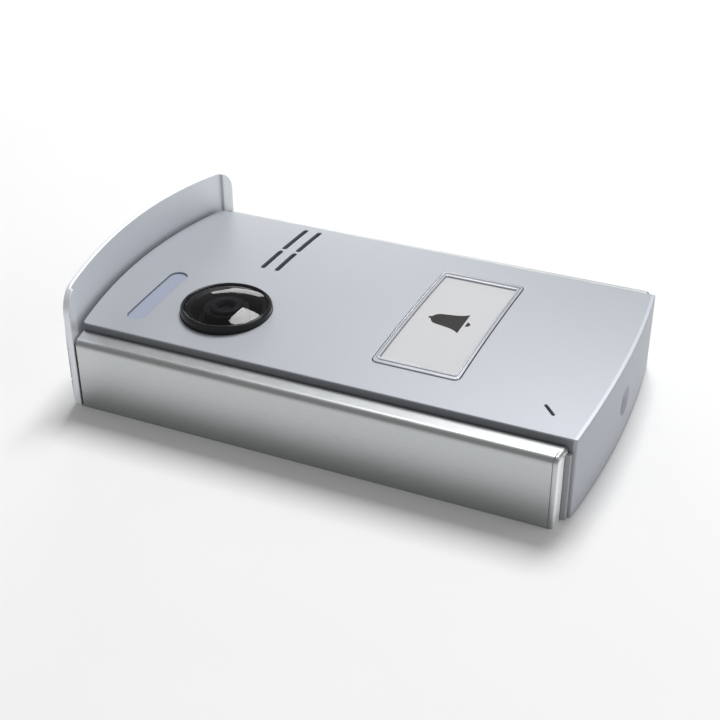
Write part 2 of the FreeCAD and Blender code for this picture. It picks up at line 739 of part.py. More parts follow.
def make_front_cover():
    block_height = ("lip_foot", "cover_edge + crown_rise + 2")
    outer = common(
        "cover_outer",
        between_ends("cover_plan", HALF, "0", "0", block_height),
        under_crown("cover_face", "0"),
    )
    sharp_z, low = number("cover_edge") - 0.05, number("lip_foot + 0.01")

    def radius_of(edge):
        box = edge.BoundBox
        if box.ZLength > 10:
            return number("cover_corner_low") if box.YMax < 0 else number("cover_corner")
        return number("cover_softening") if box.ZMin > sharp_z else 0

    rounded = rounded_edges("cover_rounded", outer, radius_of)
    hollow = common(
        "cover_hollow",
        between_ends("hollow_plan", f"{HALF} - cover_wall", "cover_wall", "cover_wall", ("-1", MIDDLE)),
        under_crown("hollow_roof", "-cover_wall"),
    )
    trim = common(
        "skirt_trim",
        block("skirt_trim_zone", (f"-{HALF} - 1", f"{HALF} + 1"), FAR, ("-1", "skirt_foot")),
        post("skirt_trim_arc", "bottom_arc - cover_wall", "0", BOTTOM_CENTRE, ("-2", "skirt_foot + 1")),
    )
    shell = cut("cover_shell", rounded, hollow, trim)
    bosses = []
    for i, (x, y) in enumerate(boss_places()):
        column = post(f"boss_post_{i}", "boss_radius", x, y, (CHASSIS_TOP, MIDDLE))
        bosses.append(common(f"boss_{i}", column, under_crown(f"boss_roof_{i}", "-cover_wall + 0.2")))
    seat_y = ("-cover_bottom + cover_wall - 0.1", "-cover_bottom + cover_wall + bottom_gap - clearance")
    seat = rod("clamp_seat", "clamp_head + 1.5", "0", seat_y, "clamp_height")
    body = fuse("cover_body", shell, seat, *bosses)
    depth = ("20", "40")
    mouth, hole = "(clamp_head + clamp_sink + 0.1)", "(clamp_shank + clearance)"
    countersink = (
        ("0", "-1"), (mouth, "-1"), (mouth, "0"), (hole, f"{mouth} - {hole}"), (hole, "6"), ("0", "6")
    )
    tools = [
        button_outline("button_window", "button_gap", depth),
        post("camera_hole", "bezel_radius + 0.1", CAMERA_X, CAMERA_Y, depth),
        slot("led_slot", "led_length", "led_width", CAMERA_X, LED_Y, depth),
        mic_slot(),
        lay_clamp(turned("clamp_countersink", countersink)),
    ]
    left, right = f"({SPEAKER_X} - slot_length/2)", f"({SPEAKER_X} + slot_length/2)"
    bridge = f"({SPEAKER_X} - slot_bridge_offset)"
    halves = ((left, f"({bridge} - slot_bridge/2)"), (f"({bridge} + slot_bridge/2)", right))
    for i, rise in enumerate(("slot_pitch/2", "-slot_pitch/2")):
        for side, (low, high) in enumerate(halves):
            middle, y = f"({low} + {high})/2", f"({CAMERA_Y} + {rise})"
            tools.append(
                slot(f"speaker_slot_{i}_{side}", f"{high} - {low}", "slot_width", middle, y, depth)
            )
    for i, (x, y) in enumerate(boss_places()):
        tools.append(post(f"boss_bore_{i}", "0.95", x, y, ("chassis_floor", "22.5")))
    node(cut("front_cover", body, *tools))


def boss_places():
    ys = ("-cover_bottom + boss_from_bottom", "boss_middle", "cover_top - boss_from_top")
    return corners_of(f"({HALF} - boss_inset)", ys)


def rounded_window(name, half_x, half_y, corner, z):
    """An upright block with round corners about the call button's middle."""
    inner_x, inner_y = f"({half_x} - {corner})", f"({half_y} - {corner})"
    bars = [
        centred_block(f"{name}_long", f"2*{half_x}", f"2*{inner_y}", "0", BUTTON_Y, z),
        centred_block(f"{name}_short", f"2*{inner_x}", f"2*{half_y}", "0", BUTTON_Y, z),
    ]
    for i, (a, b) in enumerate(QUARTERS):
        bars.append(post(f"{name}_corner_{i}", corner, f"{a}*{inner_x}", f"{BUTTON_Y} + {b}*{inner_y}", z))
    return fuse(name, *bars)


def button_outline(name, grow, z):
    """The call button's outline, grown all round."""
    half_x, half_y = f"(button_length/2 + {grow})", f"(button_width/2 + {grow})"
    return rounded_window(name, half_x, half_y, f"(button_corner + {grow})", z)


def label_outline(name, shrink, z):
    """The label's outline inside the clear border, shrunk all round."""
    half_x = f"(button_length/2 - border_across - {shrink})"
    half_y = f"(button_width/2 - border_along - {shrink})"
    return rounded_window(name, half_x, half_y, "label_corner", z)


def mic_slot():
    piece = slot("mic_slot", "mic_slot_length", "mic_slot_width", "0", "0", ("20", "40"))
    turn = FreeCAD.Rotation(Vector(0, 0, 1), number("mic_slot_angle"))
    piece.Placement = FreeCAD.Placement(Vector(), turn)
    piece.setExpression("Placement.Rotation.Angle", bound("mic_slot_angle"))
    return place(piece, MIC_X, MIC_Y)


def lay_clamp(piece):
    """Lays a piece made about +Z on the clamp screw's axis, its foot at the end wall's face."""
    return place(lay_along_y(piece), "0", CLAMP_Y, "clamp_height")


# Camera.

def make_camera():
    rim, seat = f"({CAMERA_FACE} + bezel_rise)", f"({CAMERA_FACE} + bezel_rise - 1.4)"
    foot = f"({ROOF} - 1)"
    bezel = (
        ("dome_radius - 0.85", foot), ("bezel_radius + 1.6", foot), ("bezel_radius + 1.6", f"{foot} + 0.7"),
        ("bezel_radius", f"{foot} + 0.7"), ("bezel_radius", f"{rim} - 0.5"), ("bezel_radius - 0.5", rim),
        ("dome_radius + 0.45", rim), ("dome_radius + 0.05", f"{rim} - 0.5"), ("dome_radius + 0.05", seat),
        ("dome_radius - 0.85", seat),
    )
    node(turned("camera_bezel", bezel, CAMERA_X, CAMERA_Y))
    node(
        ring(
            "bezel_seal",
            "bezel_radius + 0.1",
            "bezel_radius + 1.5",
            (f"{foot} + 0.72", f"{ROOF} + 0.3"),
            CAMERA_X,
            CAMERA_Y,
        )
    )

    base, curve = f"({seat} + 0.02)", "((dome_radius^2 + dome_rise^2)/(2*dome_rise))"
    side_top = f"({base} + dome_wall)"
    top = f"({side_top} + dome_rise)"
    inner_curve = f"({curve} - dome_wall)"
    inner_reach = f"sqrt({inner_curve}^2 - ({inner_curve} - dome_rise)^2)"
    dome = (
        ("0", f"{top} - dome_wall"), ("0", top), ("dome_radius", side_top, curve, "right"),
        ("dome_radius", base),
        (inner_reach, base), ("0", f"{base} + dome_rise", inner_curve, "left"),
    )
    node(turned("camera_dome", dome[1:], CAMERA_X, CAMERA_Y))

    ledge, floor = f"({seat} - 0.1)", f"({CHASSIS_TOP} + 6.6)"
    hole = "(collar_radius + 0.15)"
    baffle = (
        (hole, floor), (f"{hole} + 2", floor), ("dome_radius - 0.95", f"{ledge} - 0.8"),
        ("dome_radius - 0.95", ledge), ("dome_radius - 1.5", ledge), (f"{hole} + 1.5", f"{floor} + 0.7"),
        (hole, f"{floor} + 0.7"),
    )
    node(turned("camera_baffle", baffle, CAMERA_X, CAMERA_Y))
    low, top = SMALL_BOARD_TOP, f"({SMALL_BOARD_TOP} + barrel_top)"
    foot_radius, bore, seat_radius = "collar_radius + 1", "lens_radius - 0.8", "lens_radius + fit"
    barrel = (
        ("collar_radius - 0.2", low), (foot_radius, low), (foot_radius, f"{low} + 2.4"),
        ("collar_radius", f"{low} + 3"), ("collar_radius", f"{top} - 1.2"),
        ("collar_radius - 0.3", f"{top} - 0.9"),
        ("barrel_radius + 0.3", f"{top} - 0.9"), ("barrel_radius + 0.3", f"{top} - 1.3"),
        ("barrel_radius", f"{top} - 1.3"), ("barrel_radius", f"{top} - 0.3"), ("barrel_radius - 0.3", top),
        ("lens_radius - 0.5", top), ("lens_radius - 1.2", f"{top} - 0.8"), (seat_radius, f"{top} - 0.8"),
        (seat_radius, f"{top} - 3.2"), (bore, f"{top} - 3.2"), (bore, f"{low} + 2.2"),
        ("collar_radius - 0.2", f"{low} + 1.6"),
    )
    node(turned("camera_barrel", barrel, CAMERA_X, CAMERA_Y))
    lens_foot, lens_edge = f"({top} - 2.9)", f"({top} - 2.2)"
    lens_curve = "((lens_radius^2 + lens_rise^2)/(2*lens_rise))"
    lens = (
        ("0", lens_foot), ("lens_radius", lens_foot), ("lens_radius", lens_edge),
        ("0", f"{lens_edge} + lens_rise", lens_curve, "left"),
    )
    node(turned("camera_lens", lens, CAMERA_X, CAMERA_Y))
    width = "camera_board_width"
    node(centred_block("camera_board", width, width, CAMERA_X, CAMERA_Y, (CHASSIS_TOP, low)))
    node(centred_block("camera_sensor", "8", "8", CAMERA_X, CAMERA_Y, (low, f"{low} + 0.9")))
    node(camera_ribbon(low))


def camera_ribbon(board_face):
    """A flat cable from the camera board, down through the chassis to the main board."""
    edge = number(f"{CAMERA_Y} - camera_board_width/2")
    drop, run = number("ribbon_drop"), number("ribbon_run")
    top, bottom = number(f"{board_face} + 0.3"), number(f"{BOARD_TOP} + 0.3")
    x, width = number(CAMERA_X), number("ribbon_width")
    ends = ((edge + 0.6, top), (edge - drop, top), (edge - drop, bottom), (edge - drop - run, bottom))
    path = bent_path([Vector(x - width / 2, y, z) for y, z in ends], 1.6)
    return shaped("camera_ribbon", path.extrude(Vector(width, 0, 0)).makeOffsetShape(0.25, 0.01, fill=True))


# Light window, loudspeaker and microphone.

def make_light_window():
    land = common(
        "led_land",
        slot(
            "led_land_bar",
            "led_length - 0.3",
            "led_width - 0.3",
            CAMERA_X,
            LED_Y,
            (f"{ROOF} - 1.6", MIDDLE),
        ),
        under_crown("led_land_face", "-led_sink"),
    )
    flange = centred_block(
        "led_flange",
        "led_length + 2.6",
        "led_width + 2.9",
        CAMERA_X,
        LED_Y,
        (f"{ROOF} - 1.6", f"{ROOF} - 0.2"),
    )
    node(fuse("led_window", land, flange))
    board = (CHASSIS_TOP, SMALL_BOARD_TOP)
    node(centred_block("led_board", "led_length + 2", "led_width + 2.9", CAMERA_X, LED_Y, board))
    chips = [
        centred_block(
            f"led_{i}",
            "2.8",
            "2.8",
            f"({CAMERA_X} + {(i - 1.5)}*led_length/4)",
            LED_Y,
            (board[1], f"{board[1]} + 1.9"),
        )
        for i in range(4)
    ]
    node(group("status_leds", *chips))


def make_speaker():
    x, y = SPEAKER_X, CAMERA_Y
    node(
        ring(
            "speaker_gasket",
            "cone_radius + 0.3",
            "speaker_radius",
            (f"{ROOF} - 1.05", f"{ROOF} - 0.27"),
            x,
            y,
        )
    )
    node(post("speaker_mesh", "speaker_radius", x, y, (f"{ROOF} - 0.25", f"{ROOF} - 0.03")))
    foot, top = CHASSIS_TOP, f"({ROOF} - 1.07)"
    basket = (
        ("coil_radius + 0.45", foot), ("speaker_radius - 0.6", foot),
        ("speaker_radius - 0.6", f"{top} - 0.8"),
        ("speaker_radius", f"{top} - 0.8"), ("speaker_radius", top), ("cone_radius + 0.3", top),
        ("cone_radius + 0.3", f"{top} - 0.7"),
        ("speaker_radius - 1.3", f"{top} - 0.7"), ("speaker_radius - 1.3", f"{foot} + 0.7"),
        ("coil_radius + 0.45", f"{foot} + 0.7"),
    )
    node(turned("speaker_basket", basket, x, y))
    low = f"({BOARD_TOP} + 0.3)"
    magnet = (
        ("0", low), ("magnet_radius", low), ("magnet_radius", f"{foot} - 0.02"),
        ("coil_radius + 0.35", f"{foot} - 0.02"),
        ("coil_radius + 0.35", f"{low} + 1"), ("coil_radius - 0.6", f"{low} + 1"),
        ("coil_radius - 0.6", f"{foot} + 2.4"), ("0", f"{foot} + 2.4"),
    )
    node(turned("speaker_magnet", magnet, x, y))
    rim = f"({top} - 0.85)"
    cone = (
        ("0", f"{rim} - 1.1"), ("coil_radius - 0.3", f"{rim} - 2.2"),
        ("coil_radius - 0.3", f"{foot} + 0.5"), ("coil_radius", f"{foot} + 0.5"),
        ("coil_radius", f"{rim} - 2.4"), ("cone_radius - 2", f"{rim} - 0.35"),
        ("cone_radius", f"{rim} - 0.35"), ("cone_radius", rim),
        ("cone_radius - 2.2", rim), ("coil_radius", f"{rim} - 2"), ("0", f"{rim} - 0.75"),
    )
    node(turned("speaker_cone", cone, x, y))
    node(speaker_leads())


def speaker_leads():
    """Two wires from the basket down through the chassis to the main board's connector."""
    top, bottom = number(f"{CHASSIS_TOP} + 2"), number(f"{BOARD_TOP} + 1.3")
    socket, wall, wire = number(LEAD_SOCKET_Y), number("speaker_radius - 0.6"), 0.45
    wires = []
    for offset in (-11, -9):
        x = number(SPEAKER_X) + offset
        start = number(CAMERA_Y) - math.sqrt(wall ** 2 - (abs(offset) - wire) ** 2) - 0.02
        wires.append(
            tube([Vector(x, start, top), Vector(x, socket, top), Vector(x, socket, bottom)], wire, 1.3)
        )
    return shaped("speaker_leads", Part.makeCompound(wires))


def make_microphone():
    foot, top = CHASSIS_TOP, f"({ROOF} - 0.1)"
    boot = (
        ("0", foot), ("mic_radius + 1.6", foot), ("mic_radius + 1.6", f"{top} - 0.8"),
        ("mic_radius + 0.9", top), ("1.2", top),
        ("1.2", f"{foot} + 5.7"), ("mic_radius + 0.03", f"{foot} + 5.7"),
        ("mic_radius + 0.03", f"{foot} + 1.1"), ("0", f"{foot} + 1.1"),
    )
    node(turned("mic_boot", boot, MIC_X, MIC_Y))
    node(post("mic_capsule", "mic_radius", MIC_X, MIC_Y, (f"{foot} + 1.1", f"{foot} + 5.6")))


# Chassis and main board.

def standoff_places():
    ys = (
        "-cover_bottom + board_from_bottom + standoff_inset", "cover_top - board_from_top - standoff_inset"
    )
    return corners_of("standoff_across/2", ys)


def make_chassis():
    plate = between_ends(
        "chassis_plate",
        f"{HALF} - cover_wall - tub_gap",
        "cover_wall + tub_gap",
        f"{TUB_BOTTOM} + box_wall + 0.5",
        ("chassis_floor", CHASSIS_TOP),
    )
    legs = [
        post(f"standoff_{i}", "2.6", x, y, (BOARD_TOP, CHASSIS_TOP))
        for i, (x, y) in enumerate(standoff_places())
    ]
    depth = ("10", "18")
    tools = [
        post("magnet_hole", "magnet_radius + 0.4", SPEAKER_X, CAMERA_Y, depth),
        centred_block("switch_window", "switch_spacing + 9", "18", "0", BUTTON_Y, depth),
        centred_block(
            "ribbon_slot",
            "ribbon_width + 2",
            "4.4",
            CAMERA_X,
            f"({CAMERA_Y} - camera_board_width/2 - ribbon_drop)",
            depth,
        ),
        centred_block("lead_slot", "6", "4.4", LEAD_SOCKET_X, LEAD_SOCKET_Y, depth),
    ]
    tools += [post(f"chassis_hole_{i}", "1.3", x, y, depth) for i, (x, y) in enumerate(boss_places())]
    tools += [post(f"standoff_bore_{i}", "0.9", x, y, depth) for i, (x, y) in enumerate(standoff_places())]
    tools.append(post("bracket_hole", "1.05", "0", BRACKET_SCREW_Y, depth))
    node(cut("chassis", fuse("chassis_body", plate, *legs), *tools))
    screws = [
        fuse(
            f"chassis_screw_{i}",
            post(f"chassis_screw_head_{i}", "2", x, y, ("chassis_floor - 1.2", "chassis_floor")),
            post(f"chassis_screw_shank_{i}", "0.9", x, y, ("chassis_floor", "22")),
        )
        for i, (x, y) in enumerate(boss_places())
    ]
    node(group("chassis_screws", *screws))


def make_main_board():
    ends = ("-cover_bottom + board_from_bottom", "cover_top - board_from_top")
    plate = block("board_plate", ("-board_width/2", "board_width/2"), ends, ("board_floor", BOARD_TOP))
    holes = [
        post(f"board_hole_{i}", "1.2", x, y, ("10", "15")) for i, (x, y) in enumerate(standoff_places())
    ]
    node(cut("main_board", plate, *holes))
    screws = [
        fuse(
            f"board_screw_{i}",
            post(f"board_screw_head_{i}", "2", x, y, ("board_floor - 1.2", "board_floor")),
            post(f"board_screw_shank_{i}", "0.85", x, y, ("board_floor", "chassis_floor + 1")),
        )
        for i, (x, y) in enumerate(standoff_places())
    ]
    node(group("board_screws", *screws))


def make_board_parts():
    under = "board_floor"
    poles, pitch = 6, 5
    row_y = "(-cover_bottom + board_from_bottom + 9)"
    wells, screws = [], []
    for i in range(poles):
        x = str((i - (poles - 1) / 2) * pitch)
        wells.append(
            post(f"terminal_well_{i}", "1.9", x, f"{row_y} + 1.5", (f"{under} - 9", f"{under} - 5"))
        )
        wells.append(
            centred_block(
                f"terminal_mouth_{i}", "3.4", "6", x, f"({row_y} - 5)", (f"{under} - 6.4", f"{under} - 2")
            )
        )
        body = post(
            f"terminal_screw_body_{i}", "1.7", x, f"{row_y} + 1.5", (f"{under} - 7.6", f"{under} - 5")
        )
        groove = centred_block(
            f"terminal_groove_{i}", "4", "0.6", x, f"{row_y} + 1.5", (f"{under} - 8", f"{under} - 7")
        )
        screws.append(cut(f"terminal_screw_{i}", body, groove))
    shell = centred_block(
        "terminal_shell", f"{poles * pitch} + 1.6", "10", "0", row_y, (f"{under} - 8.4", under)
    )
    node(cut("terminal_block", shell, *wells))
    node(group("terminal_screws", *screws))
    node(centred_block("relay", "15.4", "10.6", "-23.3", "-35.7", (f"{under} - 8.2", under)))
    tall = (f"{under} - 7.6", under)
    cans = [post(f"capacitor_{i}", "3.6", x, "-36", tall) for i, x in enumerate(("17", "26.5"))]
    node(group("capacitors", *cans))
    chips = [
        centred_block("chip_large", "11", "11", "1", "-33", (f"{under} - 1.4", under)),
        centred_block("chip_small", "5", "6.5", "22", "2", (f"{under} - 1.4", under)),
        centred_block("chip_video", "9", "9", "-14", "48", (f"{under} - 1.2", under)),
    ]
    node(group("circuit_chips", *chips))
    camera_socket_y = f"({CAMERA_Y} - camera_board_width/2 + 2.1)"
    sockets = [
        centred_block(
            "ribbon_socket",
            "ribbon_width + 3",
            "4",
            CAMERA_X,
            RIBBON_SOCKET_Y,
            (BOARD_TOP, f"{BOARD_TOP} + 1.1"),
        ),
        centred_block(
            "camera_socket",
            "ribbon_width + 3",
            "3",
            CAMERA_X,
            camera_socket_y,
            (SMALL_BOARD_TOP, f"{SMALL_BOARD_TOP} + 1.1"),
        ),
        centred_block(
            "lead_socket", "5", "3", LEAD_SOCKET_X, LEAD_SOCKET_Y, (BOARD_TOP, f"{BOARD_TOP} + 1.25")
        ),
    ]
    node(group("board_connectors", *sockets))

    x, y = "-24", "-8"
    base = centred_block("trimmer_blank", "6.6", "6.6", x, y, (f"{under} - 3", under))
    node(
        cut("trimmer_base", base, post("trimmer_bore", "2.4 + fit", x, y, (f"{under} - 4", f"{under} - 1")))
    )
    rotor = post("rotor_blank", "2.4", x, y, (f"{under} - 3.4", f"{under} - 1.05"))
    node(
        cut(
            "trimmer_rotor",
            rotor,
            centred_block("rotor_groove", "4", "0.7", x, y, (f"{under} - 4", f"{under} - 2.8")),
        )
    )


# Call button.

def make_button():
    foot, top = f"({ROOF} - 1.8)", f"({MIDDLE} + 2)"
    body = common(
        "cap_crowned", button_outline("cap_block", "0", (foot, top)), under_crown("cap_face", "button_rise")
    )
    face_edges = number(f"{MIDDLE} - 1.2")
    softened = rounded_edges(
        "cap_softened", body, lambda edge: 0.5 if edge.BoundBox.ZMin > face_edges else 0
    )
    lip_half = "(button_length/2 + button_lip)"
    lip_top = f"({MIDDLE} - {CROWN} + sqrt(({CROWN} - cover_wall)^2 - {lip_half}^2) - 0.08)"
    lip = button_outline("cap_lip", "button_lip", (f"{lip_top} - 1.2", lip_top))
    hollow = common(
        "cap_hollow",
        label_outline("cap_hollow_block", "0", (f"{foot} - 1", top)),
        under_crown("cap_hollow_roof", "button_rise - button_skin"),
    )
    node(cut("button_cap", fuse("cap_with_lip", softened, lip), hollow))

    card_top = "button_rise - button_skin - 0.07"
    card_foot = f"{card_top} - label_thickness"
    node(
        crowned_sheet(
            "label_card", label_outline("card_plan", "label_gap", (foot, top)), card_top, card_foot
        )
    )
    ink = crowned_sheet(
        "ink", label_outline("ink_plan", "1", (foot, top)), f"{card_top} + print_thickness", card_top
    )
    bell = place(padded("bell_outline", "XY_Plane", bell_corners(), "80"), "0", BUTTON_Y)
    clapper_corners = (
        ("-clapper_radius", "-4.8"), ("clapper_radius", "-4.8", "1.005*clapper_radius", "left")
    )
    clapper = place(padded("clapper_outline", "XY_Plane", clapper_corners, "80"), "0", BUTTON_Y)
    node(common("bell_symbol", ink, group("bell_pair", bell, clapper)))

    plan = label_outline("backing_plan", "label_gap", (foot, top))
    plate = common("backing_plate", plan, under_crown("backing_face", card_foot))
    legs = [
        post(
            f"pusher_{i}",
            "2",
            f"{side}*switch_spacing/2",
            BUTTON_Y,
            (f"{SWITCH_TOP} + 0.02", f"{foot} + 0.2"),
        )
        for i, side in enumerate((-1, 1))
    ]
    node(fuse("label_backing", plate, *legs))


def crowned_sheet(name, plan, upper, lower):
    """The part of an upright block between two faces that follow the crown."""
    below = common(f"{name}_below", plan, under_crown(f"{name}_face", upper))
    return cut(name, below, under_crown(f"{name}_under", lower))


def make_switches():
    foot = f"({ROOF} - 1.8)"
    bases, plungers, springs, lamps = [], [], [], []
    for i, side in enumerate((-1, 1)):
        x = f"{side}*switch_spacing/2"
        base = centred_block(f"switch_block_{i}", "6", "6", x, BUTTON_Y, (BOARD_TOP, f"{BOARD_TOP} + 3.5"))
        well = post(
            f"switch_bore_{i}",
            "plunger_radius + fit",
            x,
            BUTTON_Y,
            (f"{BOARD_TOP} + 1", f"{BOARD_TOP} + 4"),
        )
        bases.append(cut(f"switch_{i}", base, well))
        plungers.append(
            post(f"plunger_{i}", "plunger_radius", x, BUTTON_Y, (f"{BOARD_TOP} + 2", SWITCH_TOP))
        )
        spot = side * number("button_length/2 - spring_inset")
        springs.append(coil(spot, number(BUTTON_Y), number(CHASSIS_TOP), number(foot)))
        lamp = (BOARD_TOP, f"{BOARD_TOP} + 1.4")
        lamps.append(centred_block(f"lamp_{i}", "2.8", "3.5", f"{side}*6", BUTTON_Y, lamp))
    node(group("tact_switches", *bases))
    node(group("switch_plungers", *plungers))
    node(group("button_leds", *lamps))
    node(shaped("button_springs", Part.makeCompound(springs)))


def bell_corners():
    """A plain bell about the button's middle: knob, round shoulders, flared mouth."""
    right = [
        ("0.45", "7.2"),
        ("0.55", "6.3"),
        ("3", "4.1", "3", "right"),
        ("3.7", "0.4"),
        ("5.7", "-4", "8.5", "left"),
    ]
    left = [
        ("-5.7", "-4"),
        ("-3.7", "0.4", "8.5", "left"),
        ("-3", "4.1"),
        ("-0.55", "6.3", "3", "right"),
        ("-0.45", "7.2"),
    ]
    return right + left


def coil(x, y, low, high):
    """A spring standing on the chassis, under the button."""
    wire, radius, turns = number("spring_wire"), number("spring_radius"), 5
    rise = high - low - 2 * wire - 0.04
    helix = Part.makeHelix(rise / turns, rise, radius)
    section = Part.Wire(Part.Circle(Vector(radius, 0, 0), Vector(0, 1, 0), wire).toShape())
    solid = Part.Wire(helix.Edges).makePipeShell([section], True, True)
    solid.translate(Vector(x, y, low + wire + 0.02))
    return solid


# Clamp.

def make_clamp():
    across = ("-bracket_width/2", "bracket_width/2")
    upright_y = (BRACKET_Y, f"{BRACKET_Y} + bracket_thickness")
    upright = block("bracket_upright", across, upright_y, ("clamp_height - 5.5", "chassis_floor"))
    flat = block(
        "bracket_flat", across, (BRACKET_Y, f"{BRACKET_Y} + 8.6"), ("chassis_floor - 1.3", "chassis_floor")
    )
    bores = [
        rod(
            "bracket_thread",
            "clamp_shank + fit",
            "0",
            ("-cover_bottom", "-cover_bottom + 12"),
            "clamp_height",
        ),
        post("bracket_screw_bore", "0.95", "0", BRACKET_SCREW_Y, ("5", CHASSIS_TOP)),
    ]
    node(cut("clamp_bracket", fuse("bracket_body", upright, flat), *bores))
    head, sink = "clamp_head", "clamp_sink"
    section = (
        ("0", sink), (head, sink), ("clamp_shank", f"{sink} + clamp_head - clamp_shank"),
        ("clamp_shank", "clamp_length - 0.5"),
        ("clamp_shank - 0.5", "clamp_length"), ("0", "clamp_length"),
    )
    blank = lay_clamp(turned("clamp_screw_blank", section))
    socket = doc.addObject("Part::Prism", "clamp_socket")
    socket.Polygon = 6
    bind(socket, Circumradius="1.45", Height=f"{sink} + 1.6")
    node(cut("clamp_screw", blank, lay_clamp(socket)))


make_back_box()
make_rail("left_rail", -1)
make_rail("right_rail", 1)
make_end_caps()
make_visor()
make_visor_screws()
make_visor_gasket()
make_rail_screws()
make_cable_grommet()
make_front_cover()
make_camera()
make_light_window()
make_speaker()
make_microphone()
make_chassis()
make_main_board()
make_board_parts()
make_button()
make_switches()
make_clamp()
doc.recompute()

failed = [item.Label for item in doc.Objects if {"Invalid", "Error"} & set(item.State)]
if failed:
    raise RuntimeError(f"failed objects: {failed}")
for item in nodes:
    shape = item.Shape
    if shape.isNull() or not shape.isValid() or not shape.Solids or shape.Volume <= 0:
        raise RuntimeError(f"{item.Label}: no valid solid")

os.makedirs("parts", exist_ok=True)
for item in nodes:
    item.Shape.exportStep(f"parts/{item.Label}.step")
    print(f"{item.Label}: {len(item.Shape.Solids)} solids, {item.Shape.Volume:.1f} mm3")
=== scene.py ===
"""The finished look of the door panel: its pieces' surfaces and finishes, the floor, lights and camera."""

import json
import math

import bmesh
import bpy
from mathutils import Matrix, Vector


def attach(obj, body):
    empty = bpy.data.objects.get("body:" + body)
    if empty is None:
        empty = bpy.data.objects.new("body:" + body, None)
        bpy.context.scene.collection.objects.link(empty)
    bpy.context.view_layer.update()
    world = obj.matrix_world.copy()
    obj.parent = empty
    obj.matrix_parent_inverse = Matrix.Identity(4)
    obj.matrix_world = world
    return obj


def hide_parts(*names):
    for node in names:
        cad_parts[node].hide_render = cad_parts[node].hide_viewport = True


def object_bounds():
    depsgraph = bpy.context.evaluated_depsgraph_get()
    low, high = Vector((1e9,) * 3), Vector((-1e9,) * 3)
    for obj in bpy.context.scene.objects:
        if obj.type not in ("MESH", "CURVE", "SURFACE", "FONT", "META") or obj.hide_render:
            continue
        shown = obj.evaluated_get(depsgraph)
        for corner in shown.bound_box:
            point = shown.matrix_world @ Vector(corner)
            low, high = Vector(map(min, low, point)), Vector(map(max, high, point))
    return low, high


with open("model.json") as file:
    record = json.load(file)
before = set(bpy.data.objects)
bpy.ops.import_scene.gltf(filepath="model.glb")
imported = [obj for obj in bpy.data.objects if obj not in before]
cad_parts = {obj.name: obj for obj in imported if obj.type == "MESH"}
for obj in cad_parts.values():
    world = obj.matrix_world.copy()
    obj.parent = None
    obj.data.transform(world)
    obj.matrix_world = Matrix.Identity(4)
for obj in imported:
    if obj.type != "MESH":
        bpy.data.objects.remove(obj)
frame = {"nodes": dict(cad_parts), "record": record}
cad_low, cad_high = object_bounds()
BODIES = frame["record"]["behaviour"]["bodies"]
MM = 0.001
WHITE = (1.0, 1.0, 1.0, 1.0)

# Places on the panel that patches of painted light and shade, and rounded edges, are found by.

HALF_PANEL = 50 * MM
HALF_COVER = 43 * MM
COVER_EDGE = 25.6 * MM
RAIL_TOP = 23.2 * MM
END_ARC_MIDDLE = Vector((0, 270, 0)) * MM
COVER_END = 350 * MM
RAIL_END = 348 * MM
RAIL_SEAM = 346.4 * MM


# Node trees.


class Value:
    """A socket that takes part in sums. Each operator adds a Math node."""

    def __init__(self, nodes, socket):
        self.nodes, self.socket = nodes, socket

    def maths(self, operation, *values):
        return self.nodes.node("ShaderNodeMath", {"operation": operation}, dict(enumerate(values)))

    def __add__(self, other):
        return self.maths("ADD", self, other)

    def __sub__(self, other):
        return self.maths("SUBTRACT", self, other)

    def __rsub__(self, other):
        return self.maths("SUBTRACT", other, self)

    def __mul__(self, other):
        return self.maths("MULTIPLY", self, other)

    def __truediv__(self, other):
        return self.maths("DIVIDE", self, other)

    __radd__ = __add__
    __rmul__ = __mul__


class Nodes:
    """A node tree that is being built."""

    def __init__(self, tree):
        self.tree = tree

    def node(self, kind, settings, sockets, output=0):
        """Adds a node, sets it up, gives its sockets values or links, and returns one of its outputs."""
        node = self.tree.nodes.new(kind)
        for name, value in settings.items():
            setattr(node, name, value)
        for key, value in sockets.items():
            if isinstance(value, Value):
                self.tree.links.new(value.socket, node.inputs[key])
            else:
                node.inputs[key].default_value = value
        return Value(self, node.outputs[output])


